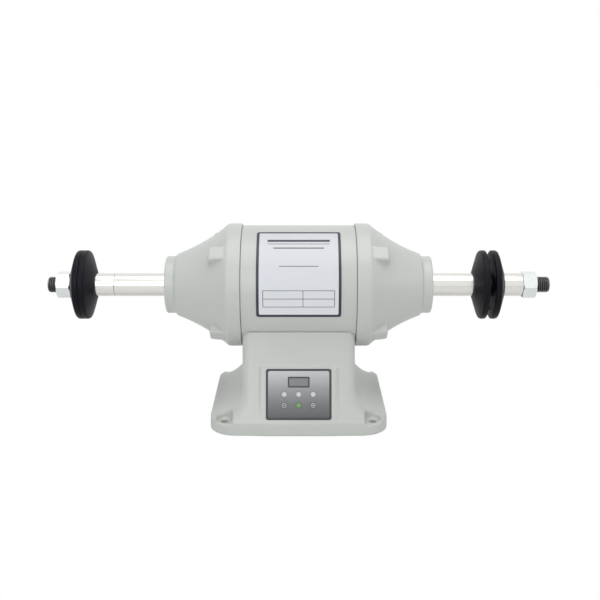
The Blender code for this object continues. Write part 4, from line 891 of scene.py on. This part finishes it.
def panel_slab(width, height, low, high, corner, place=(0, 0)):
    """A rounded rectangular slab in the plane of the panel."""
    bm = flat_sheet(width, height, corner)
    bmesh.ops.translate(bm, verts=bm.verts, vec=(*place, low))
    thicken(bm, high - low)
    return on_panel(bm)


# %% Machining the pedestal
BEZEL_SIZE = (0.100, 0.0775)
BEZEL_DEPTH = 0.005
BEZEL_CUT_CORNER = 0.004
FIT = 0.0003
PAST = 0.01
HOLE_RADIUS = 0.0055
HOLE_CUT_TOP = 0.06
COVER_CORNER = 0.031
FOOT_POST_RADIUS = 0.019
GLAND_RADIUS = 0.0105
GLAND_HEAD = 0.012
GLAND_PLAY = 0.001

cuts = [cut_with(turned([(-BASE_X, 0), (-BASE_X, BARREL_RADIUS + FIT), (BASE_X, BARREL_RADIUS + FIT),
                         (BASE_X, 0)], steps=160))]
cuts.append(cut_with(soft_box((-BASE_X * 2, -BASE_Y * 2, -PAST * 5), (BASE_X * 2, BASE_Y * 2, 0), 0)))
cover_high = Vector(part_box("base_cover")[1])
rebate = bmesh.new()
bridge_rings(rebate, [level_ring(rebate, height, cover_high.x + FIT, cover_high.y + FIT,
                                 COVER_CORNER, 0) for height in (-PAST, cover_high.z + FIT)])
posts = [cut_with(cylinder((x, y, -PAST * 2), (x, y, PAST * 2), FOOT_POST_RADIUS)) for x, y in FEET]
cuts.append(cut_with(settled(rebate, *posts)))
gland_low, gland_high = (Vector(corner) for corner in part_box("cord_gland"))
gland = (gland_low + gland_high) / 2
cuts.append(cut_with(cylinder((gland.x, gland_low.y - FIT, gland.z), (gland.x, gland_high.y, gland.z),
                              GLAND_RADIUS + FIT)))
cuts.append(cut_with(cylinder((gland.x, gland_high.y - GLAND_HEAD - FIT, gland.z),
                              (gland.x, gland_high.y + PAST, gland.z),
                              gland_high.x - gland.x + GLAND_PLAY)))
cuts.append(cut_with(panel_slab(*grown(BEZEL_SIZE, FIT), -BEZEL_DEPTH - FIT, PAST * 2,
                                BEZEL_CUT_CORNER)))
cuts += [cut_with(cylinder((x, y, -PAST), (x, y, HOLE_CUT_TOP), HOLE_RADIUS)) for x, y in FEET]
pedestal = settled(pedestal, *cuts)
add_piece("pedestal_casting", pedestal, PAINT, "frame", "casting_paint", ["pedestal"])
print("pedestal done")


# %% [markdown]
# ## The shaft and its threads
# The shaft is ground steel with a smaller threaded arbor at each end. A thread is one
# tooth's outline, one pitch long, spun round the axis while it moves along it, so that
# each turn joins the last. The right end has a right-hand thread and the left end a
# left-hand one, so that neither nut works loose.

# %% Shaft
SHAFT_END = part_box("spindle_shaft")[1][0]
SHAFT_RADIUS = 0.01825
ARBOR_RADIUS = 0.0127
SHOULDER = 0.2936
STUB_END = SHOULDER + 0.003
SHAFT_EDGE = 0.0005
THREAD_DEPTH = 0.0017
root = ARBOR_RADIUS - THREAD_DEPTH
shaft = turned(soft_corners([
    (-STUB_END, 0, 0), (-STUB_END, root, 0), (-SHOULDER, root, 0),
    (-SHOULDER, SHAFT_RADIUS, SHAFT_EDGE), (SHOULDER, SHAFT_RADIUS, SHAFT_EDGE),
    (SHOULDER, root, 0), (STUB_END, root, 0), (STUB_END, 0, 0)]), steps=128)
add_piece("shaft_bar", shaft, SHAFT_STEEL, "spindle", "polished_steel", ["spindle_shaft"])
print("shaft from", -SHAFT_END, "to", SHAFT_END)

# %% Threads
PITCH = 0.003175
THREAD_START = 0.2955
THREAD_MERGE = 0.00001
TURN_STEPS = 32
ENVELOPE_RADIUS = 0.02
TIP_LENGTH = 0.0092
TIP_DROP = 0.0022


def thread(side):
    """A helical thread from the shoulder to the chamfered end."""
    bm = bmesh.new()
    tooth_shares = ((0, 0), (1 / 8, 0), (1 / 2 - 1 / 16, 1), (1 / 2 + 1 / 16, 1), (7 / 8, 0), (1, 0))
    start = THREAD_START - 2 * PITCH
    verts = [bm.verts.new((side * (start + along * PITCH), 0, root + (ARBOR_RADIUS - root) * rise))
             for along, rise in tooth_shares]
    edges = [bm.edges.new(pair) for pair in zip(verts, verts[1:])]
    turns = math.ceil((SHAFT_END - start) / PITCH) + 2
    bmesh.ops.spin(bm, geom=verts + edges, cent=(0, 0, 0), axis=(1, 0, 0),
                   dvec=(side * PITCH / TURN_STEPS, 0, 0), angle=math.tau * turns * side,
                   steps=TURN_STEPS * turns, use_merge=False)
    bmesh.ops.remove_doubles(bm, verts=bm.verts, dist=THREAD_MERGE)
    for place, outer in ((THREAD_START, -side), (SHAFT_END, side)):
        cut = bmesh.ops.bisect_plane(bm, geom=bm.verts[:] + bm.edges[:] + bm.faces[:], dist=MERGE,
                                     plane_co=(side * place, 0, 0), plane_no=(outer, 0, 0),
                                     clear_outer=True)
        rim = [item for item in cut["geom_cut"] if isinstance(item, bmesh.types.BMEdge)]
        bmesh.ops.contextual_create(bm, geom=rim)
    bmesh.ops.recalc_face_normals(bm, faces=bm.faces)
    bmesh.ops.translate(bm, verts=bm.verts, vec=AXIS)
    return bm


for side, name in ((-1, "left"), (1, "right")):
    near, far = side * (THREAD_START - PAST), side * SHAFT_END
    envelope = turned([(near, 0), (near, ENVELOPE_RADIUS),
                       (side * (SHAFT_END - TIP_LENGTH), ENVELOPE_RADIUS),
                       (far, ARBOR_RADIUS - TIP_DROP), (far, 0)], steps=64)
    made = settled(thread(side), cut_with(envelope, "INTERSECT"))
    add_piece(f"{name}_thread", made, THREAD_STEEL, "spindle", "polished_steel")
    print(name, "thread done")


# %% [markdown]
# ## Flanges, spacers and nuts
# The flanges are turned and blackened: a flat clamping ring, a rim, a long cone and a
# counterbore that swallows the end of the shaft or of a spacer. They are spun from one
# outline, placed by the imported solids, so that each fits its own pocket.

# %% Clamping stacks
FLANGE_RADIUS = 0.055
FLANGE_RIM = 0.0085
FLANGE_HUB = 0.0228
COUNTERBORE = 0.0190
FLANGE_WEB = 0.004
FACE_EDGE = 0.0016
CONE_EDGE = 0.003
FLANGE_HUB_EDGE = 0.0006
BORE_EDGE = 0.0004
FINE_EDGE = 0.0003
RELIEF_INNER, RELIEF_OUTER = 0.019, 0.040
RELIEF_DEPTH = 0.0015
BORE_RADIUS = ARBOR_RADIUS + FIT


def flange_piece(name, body, side):
    """One flange, with its clamping face towards the wheel."""
    low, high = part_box(name)
    face, hub = (low[0], high[0]) if side > 0 else (high[0], low[0])
    deep = abs(hub - face)
    corners = [(0, FLANGE_RADIUS, FACE_EDGE), (FLANGE_RIM, FLANGE_RADIUS, CONE_EDGE),
               (deep - FLANGE_HUB_EDGE, FLANGE_HUB, FLANGE_HUB_EDGE), (deep, COUNTERBORE, BORE_EDGE),
               (FLANGE_WEB, COUNTERBORE, 0), (FLANGE_WEB, BORE_RADIUS, 0), (0, BORE_RADIUS, 0),
               (0, RELIEF_INNER, FINE_EDGE), (RELIEF_DEPTH, RELIEF_INNER, FINE_EDGE),
               (RELIEF_DEPTH, RELIEF_OUTER, FINE_EDGE), (0, RELIEF_OUTER, FINE_EDGE)]
    corners = [(face + side * x, radius, rounding) for x, radius, rounding in corners]
    made = turned(soft_corners(corners, closed=True), closed=True, steps=144)
    add_piece(name + "_turning", made, FLANGE_BLACK, body, "black_oxide", [name])


for name, body, side in (("left_inner_flange", "spindle", 1), ("left_outer_flange", "left_clamp", -1),
                         ("right_inner_flange", "spindle", -1),
                         ("right_outer_flange", "right_clamp", 1)):
    flange_piece(name, body, side)

for name, body in (("left_spacer", "spindle"), ("right_spacer", "right_clamp")):
    low, high = (corner[0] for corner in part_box(name))
    made = turned(soft_corners([(low, BORE_RADIUS, BORE_EDGE), (low, SHAFT_RADIUS, SHAFT_EDGE),
                                (high, SHAFT_RADIUS, SHAFT_EDGE), (high, BORE_RADIUS, BORE_EDGE)],
                               closed=True), closed=True, steps=128)
    add_piece(name + "_sleeve", made, SHAFT_STEEL, body, "polished_steel", [name])
    print(name, "length", high - low)

# %% [markdown]
# A nut starts as a six-sided bar. Crossing it with a turned shape that has a sloping
# shoulder leaves the curved chamfers that every machined nut has on its corners.

# %% Nuts
NUT_SLOPE = 0.0026
SLOPE_SHARE = 0.62
NUT_EDGE = 0.00035
for name in ("left_nut", "right_nut"):
    low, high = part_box(name)
    corner = (high[2] - low[2]) / 2
    bar = bmesh.new()
    bmesh.ops.create_cone(bar, cap_ends=True, segments=6, radius1=corner, radius2=corner,
                          depth=high[0] - low[0], matrix=Matrix.Rotation(math.pi / 2, 4, "Y"))
    bmesh.ops.translate(bar, verts=bar.verts, vec=((low[0] + high[0]) / 2, 0, AXIS.z))
    near, far = low[0], high[0]
    shoulder = turned([(near, 0), (near, corner - NUT_SLOPE),
                       (near + NUT_SLOPE * SLOPE_SHARE, corner + FIT),
                       (far - NUT_SLOPE * SLOPE_SHARE, corner + FIT), (far, corner - NUT_SLOPE), (far, 0)])
    bore = cylinder((near - PAST, 0, AXIS.z), (far + PAST, 0, AXIS.z), BORE_RADIUS, 64)
    made = settled(bar, cut_with(shoulder, "INTERSECT"), cut_with(bore))
    piece = add_piece(name + "_hexagon", made, ZINC, name, "bright_zinc", [name])
    edge = piece.modifiers.new("edge", "BEVEL")
    edge.width = NUT_EDGE
    edge.segments = 2
    edge.limit_method = "ANGLE"
    edge.angle_limit = math.radians(25)
    print(name, "corner radius", corner)


# %% [markdown]
# ## Seals
# A rubber lip seal closes each hub round the shaft. Only its face and a dark ring of
# shadow show, so a plain softened ring is enough.

# %% Seals
LIP_GAP = 0.0006
SEAL_EDGE = 0.0004
lip, outside = SHAFT_RADIUS + LIP_GAP, SEAL_RADIUS - FIT
for name in ("left", "right"):
    low, high = (corner[0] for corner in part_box(f"{name}_shaft_seal"))
    made = turned(soft_corners([(low, lip, SEAL_EDGE), (low, outside, SEAL_EDGE),
                                (high, outside, SEAL_EDGE), (high, lip, SEAL_EDGE)],
                               closed=True), closed=True, steps=96)
    add_piece(f"{name}_seal_ring", made, RUBBER, "frame", "seal_rubber", [f"{name}_shaft_seal"])
    print(name, "seal from", low, "to", high)


# %% [markdown]
# ## The nameplate
# The plate is thin metal bent to the barrel, with a dark border. It carries no words:
# a few rules and empty boxes stand where a rating plate has its print. A flat sheet is
# cut into strips, given its thickness and then bent, so border, field and rules all lie
# true on the round barrel.

# %% Bent sheets
LABEL_HALF = 0.0645
LABEL_ANGLES = (math.radians(-17), math.radians(72))
LABEL_BORDER = 0.0042
BEND_STEPS = 48
arc_radius = BARREL_RADIUS + FIT
arc_length = arc_radius * (LABEL_ANGLES[1] - LABEL_ANGLES[0])


def bent_sheet(width, height, middle, corner, out, thickness):
    """A rounded sheet laid on the barrel; middle is (x, arc) from the plate's middle."""
    bm = flat_sheet(width, height, corner)
    cuts = max(1, round(BEND_STEPS * height / arc_length))
    for step in range(1, cuts):
        bmesh.ops.bisect_plane(bm, geom=bm.verts[:] + bm.edges[:] + bm.faces[:], dist=MERGE,
                               plane_co=(0, height * (step / cuts - 0.5), 0), plane_no=(0, 1, 0))
    thicken(bm, thickness)
    middle_angle = (LABEL_ANGLES[0] + LABEL_ANGLES[1]) / 2
    for vertex in bm.verts:
        angle = middle_angle + (middle[1] + vertex.co.y) / arc_radius
        radius = arc_radius + out + vertex.co.z
        vertex.co = (middle[0] + vertex.co.x, -radius * math.cos(angle), AXIS.z + radius * math.sin(angle))
    return bm


print("nameplate arc", arc_length)

# %% Nameplate
BORDER_CORNER = 0.004
BORDER_THICKNESS = 0.0005
FIELD_CORNER = 0.002
FIELD_OUT = 0.0004
FIELD_THICKNESS = 0.0003
PRINT_OUT = 0.0007
PRINT_THICKNESS = 0.00012
POST_WIDTH = 0.0008
plate = bent_sheet(LABEL_HALF * 2, arc_length, (0, 0), BORDER_CORNER, 0, BORDER_THICKNESS)
add_piece("nameplate_border", plate, NAVY, "frame", "label_silver", ["nameplate"])
field = bent_sheet(LABEL_HALF * 2 - LABEL_BORDER * 2, arc_length - LABEL_BORDER * 2, (0, 0),
                   FIELD_CORNER, FIELD_OUT, FIELD_THICKNESS)
# the field's silver carries painted shading, lighter at the bottom and darker at the top
add_piece("nameplate_field", field, LABEL_PAINTED_SHADING, "frame", "label_silver")

# Width, thickness, x and arc place of each rule, and the x of each post
rule_shares = [(0.74, 0.030, 0, 0.345), (0.74, 0.006, 0, 0.300), (0.60, 0.012, 0, 0.245),
               (0.46, 0.006, 0, 0.035), (0.84, 0.005, 0, -0.215), (0.84, 0.005, 0, -0.385),
               (0.84, 0.005, 0, -0.300)]
for index, (wide, tall, x, up) in enumerate(rule_shares):
    rule = bent_sheet(wide * LABEL_HALF * 2, tall * arc_length, (x, up * arc_length), 0, PRINT_OUT,
                      PRINT_THICKNESS)
    add_piece(f"nameplate_rule_{index + 1}", rule, NAVY, "frame", "label_silver")
post_shares = (-0.42, 0.05, 0.42)
for index, x in enumerate(post_shares):
    post = bent_sheet(POST_WIDTH, 0.17 * arc_length, (x * LABEL_HALF * 2, -0.30 * arc_length), 0,
                      PRINT_OUT, PRINT_THICKNESS)
    add_piece(f"nameplate_post_{index + 1}", post, NAVY, "frame", "label_silver")
print("rules", len(rule_shares), "posts", len(post_shares))


# %% [markdown]
# ## The control panel
# A dark bezel sits in the recess of the pad, and a plate sits in the bezel, painted with a
# reflection that fades from silver at the top to dark grey at the bottom. The plate has a
# small display and six round buttons. Its openings are real cuts, so that every button and
# the display sit in a shadow gap.

# %% Bezel
PLATE_SIZE = (0.094, 0.0715)
BEZEL_TOP = 0.0003
BEZEL_CORNER = 0.0045
PLATE_SEAT = 0.0026
SEAT_CORNER = 0.003
SEAT_WIDTH = 0.003
bezel = settled(panel_slab(*BEZEL_SIZE, -BEZEL_DEPTH, BEZEL_TOP, BEZEL_CORNER),
                cut_with(panel_slab(*grown(PLATE_SIZE, FIT), -PLATE_SEAT, PAST, SEAT_CORNER)),
                cut_with(panel_slab(*grown(PLATE_SIZE, -SEAT_WIDTH), -PAST, 0, SEAT_CORNER)))
add_piece("panel_bezel", bezel, BEZEL, "frame", "bezel_black", ["control_bezel"])
print("bezel", BEZEL_SIZE)

# %% Plate
PLATE_BOTTOM, PLATE_TOP = -0.0023, -0.0003
PLATE_CORNER = 0.0028
WINDOW_SIZE = (0.0318, 0.0148)
WINDOW_PLACE = (0, 0.0187)
WINDOW_CUT_CORNER = 0.001
BUTTON_RADIUS = 0.00385
BUTTON_PITCH = 0.0221
ROW_DROP = 0.0167
button_places = [(BUTTON_PITCH * column, -ROW_DROP * row) for row in (0, 1) for column in (-1, 0, 1)]


def panel_disc(place, radius, low, high, steps=40):
    """A round disc in the plane of the panel."""
    bm = bmesh.new()
    bmesh.ops.create_cone(bm, cap_ends=True, segments=steps, radius1=radius, radius2=radius,
                          depth=high - low)
    bmesh.ops.translate(bm, verts=bm.verts, vec=(*place, (low + high) / 2))
    return on_panel(bm)


cuts = [cut_with(panel_slab(*grown(WINDOW_SIZE, FIT), -PAST, PAST, WINDOW_CUT_CORNER, WINDOW_PLACE))]
cuts += [cut_with(panel_disc(place, BUTTON_RADIUS + FIT, -PAST, PAST)) for place in button_places]
plate = settled(panel_slab(*PLATE_SIZE, PLATE_BOTTOM, PLATE_TOP, PLATE_CORNER), *cuts)
# the plate's fade from silver at the top to dark grey at the bottom is a painted reflection
add_piece("panel_plate", plate, PANEL_PAINTED_REFLECTION, "frame", "panel_grey", ["control_plate"])
print("plate", PLATE_SIZE, "openings", len(cuts))

# %% Display
GLASS_TOP = -0.0006
GLASS_CORNER = 0.0009
SURROUND_TOP = 0.0001
SURROUND_OUT, SURROUND_IN = 0.0008, 0.0013
SURROUND_CORNER, SIGHT_CORNER = 0.0016, 0.0006
window = panel_slab(*WINDOW_SIZE, PLATE_BOTTOM, GLASS_TOP, GLASS_CORNER, WINDOW_PLACE)
add_piece("display_glass", window, DISPLAY, "frame", "window_grey", ["display_window"])
surround = panel_slab(*grown(WINDOW_SIZE, SURROUND_OUT), PLATE_TOP, SURROUND_TOP, SURROUND_CORNER,
                      WINDOW_PLACE)
sight = panel_slab(*grown(WINDOW_SIZE, -SURROUND_IN), -PAST, PAST, SIGHT_CORNER, WINDOW_PLACE)
surround = settled(surround, cut_with(sight))
add_piece("display_frame", surround, BEZEL, "frame", "bezel_black")
print("display", WINDOW_SIZE)

# %% [markdown]
# The buttons are low rounded caps, discs whose upper edge alone is bevelled. The outer
# pair of the lower row carry a minus and a plus, which any speed control could have. The
# marks are thin raised pieces, because print on so small a cap would blur.

# %% Buttons
BUTTON_PROUD = 0.0009
CAP_DEPTH = 0.0032
CAP_EDGE = 0.0006
RING_INSET = 0.0004
RING_WIDTH = 0.0009
MARK_LENGTH, MARK_WIDTH = 0.0030, 0.0008
MARK_CORNER = 0.0002
MARK_BOTTOM, MARK_TOP = 0.0005, BUTTON_PROUD + 0.0001
ring_radius = BUTTON_RADIUS - RING_INSET
buttons = (("mode_button", WHITE, "button_white"), ("run_button", WHITE, "button_white"),
           ("stop_button", WHITE, "button_white"), ("slower_button", GREY, "button_dark"),
           ("power_button", GREEN, "button_green"), ("faster_button", GREY, "button_dark"))
for (name, material, slot), place in zip(buttons, button_places):
    cap = panel_disc(place, BUTTON_RADIUS, -CAP_DEPTH, BUTTON_PROUD)
    top_edges = [edge for edge in cap.edges
                 if all((PANEL.inverted() @ vertex.co).z > 0 for vertex in edge.verts)]
    bmesh.ops.bevel(cap, geom=top_edges, offset=CAP_EDGE, segments=3, profile=0.5, affect="EDGES",
                    material=-1)
    add_piece(name + "_cap", cap, material, name, slot, [name])
    if slot == "button_dark":
        ring = settled(panel_disc(place, ring_radius, MARK_BOTTOM, MARK_TOP),
                       cut_with(panel_disc(place, ring_radius - RING_WIDTH, 0, PAST)))
        add_piece(name + "_ring", ring, WHITE, name, "button_white")
        bar = panel_slab(MARK_LENGTH, MARK_WIDTH, MARK_BOTTOM, MARK_TOP, MARK_CORNER, place)
        add_piece(name + "_bar", bar, WHITE, name, "button_white")
    if name == "faster_button":
        for end, label in ((-1, "down"), (1, "up")):
            middle = place[1] + end * (MARK_LENGTH + MARK_WIDTH) / 4
            stroke = panel_slab(MARK_WIDTH, (MARK_LENGTH - MARK_WIDTH) / 2, MARK_BOTTOM, MARK_TOP,
                                MARK_CORNER, (place[0], middle))
            add_piece(f"plus_stroke_{label}", stroke, WHITE, name, "button_white")
print("buttons", len(buttons))


# %% [markdown]
# ## The rest
# The bearings, core, windings, bolts, cover and gland are plain forms that hardly show.
# They could be modelled again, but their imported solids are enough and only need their
# real finishes.

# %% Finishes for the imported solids
kept = {"core_steel": CORE_STEEL, "copper_winding": COPPER, "bearing_steel": BEARING_STEEL,
        "seal_rubber": RUBBER, "black_oxide": BOLT_BLACK, "bright_zinc": ZINC, "board_green": BOARD,
        "module_alloy": ALLOY, "sheet_steel": SHEET, "casting_paint": PAINT,
        # the nameplate finish carries painted shading, lighter at the bottom and darker at the top
        "polished_steel": SHAFT_STEEL, "label_silver": LABEL_PAINTED_SHADING, "bezel_black": BEZEL,
        # the panel finish carries a painted reflection, dark at the bottom and silver at the top
        "panel_grey": PANEL_PAINTED_REFLECTION, "window_grey": DISPLAY, "button_white": WHITE,
        "button_dark": GREY, "button_green": GREEN}
slots = {row["node"]: row["material_slot"] for row in frame["record"]["subparts"]}
for name, slot in slots.items():
    solid = bpy.data.objects.get(name)
    if solid is None or solid.type != "MESH":
        continue
    solid.data.materials.clear()
    solid.data.materials.append(kept[slot])
print("packed solids with a finish", len(slots))
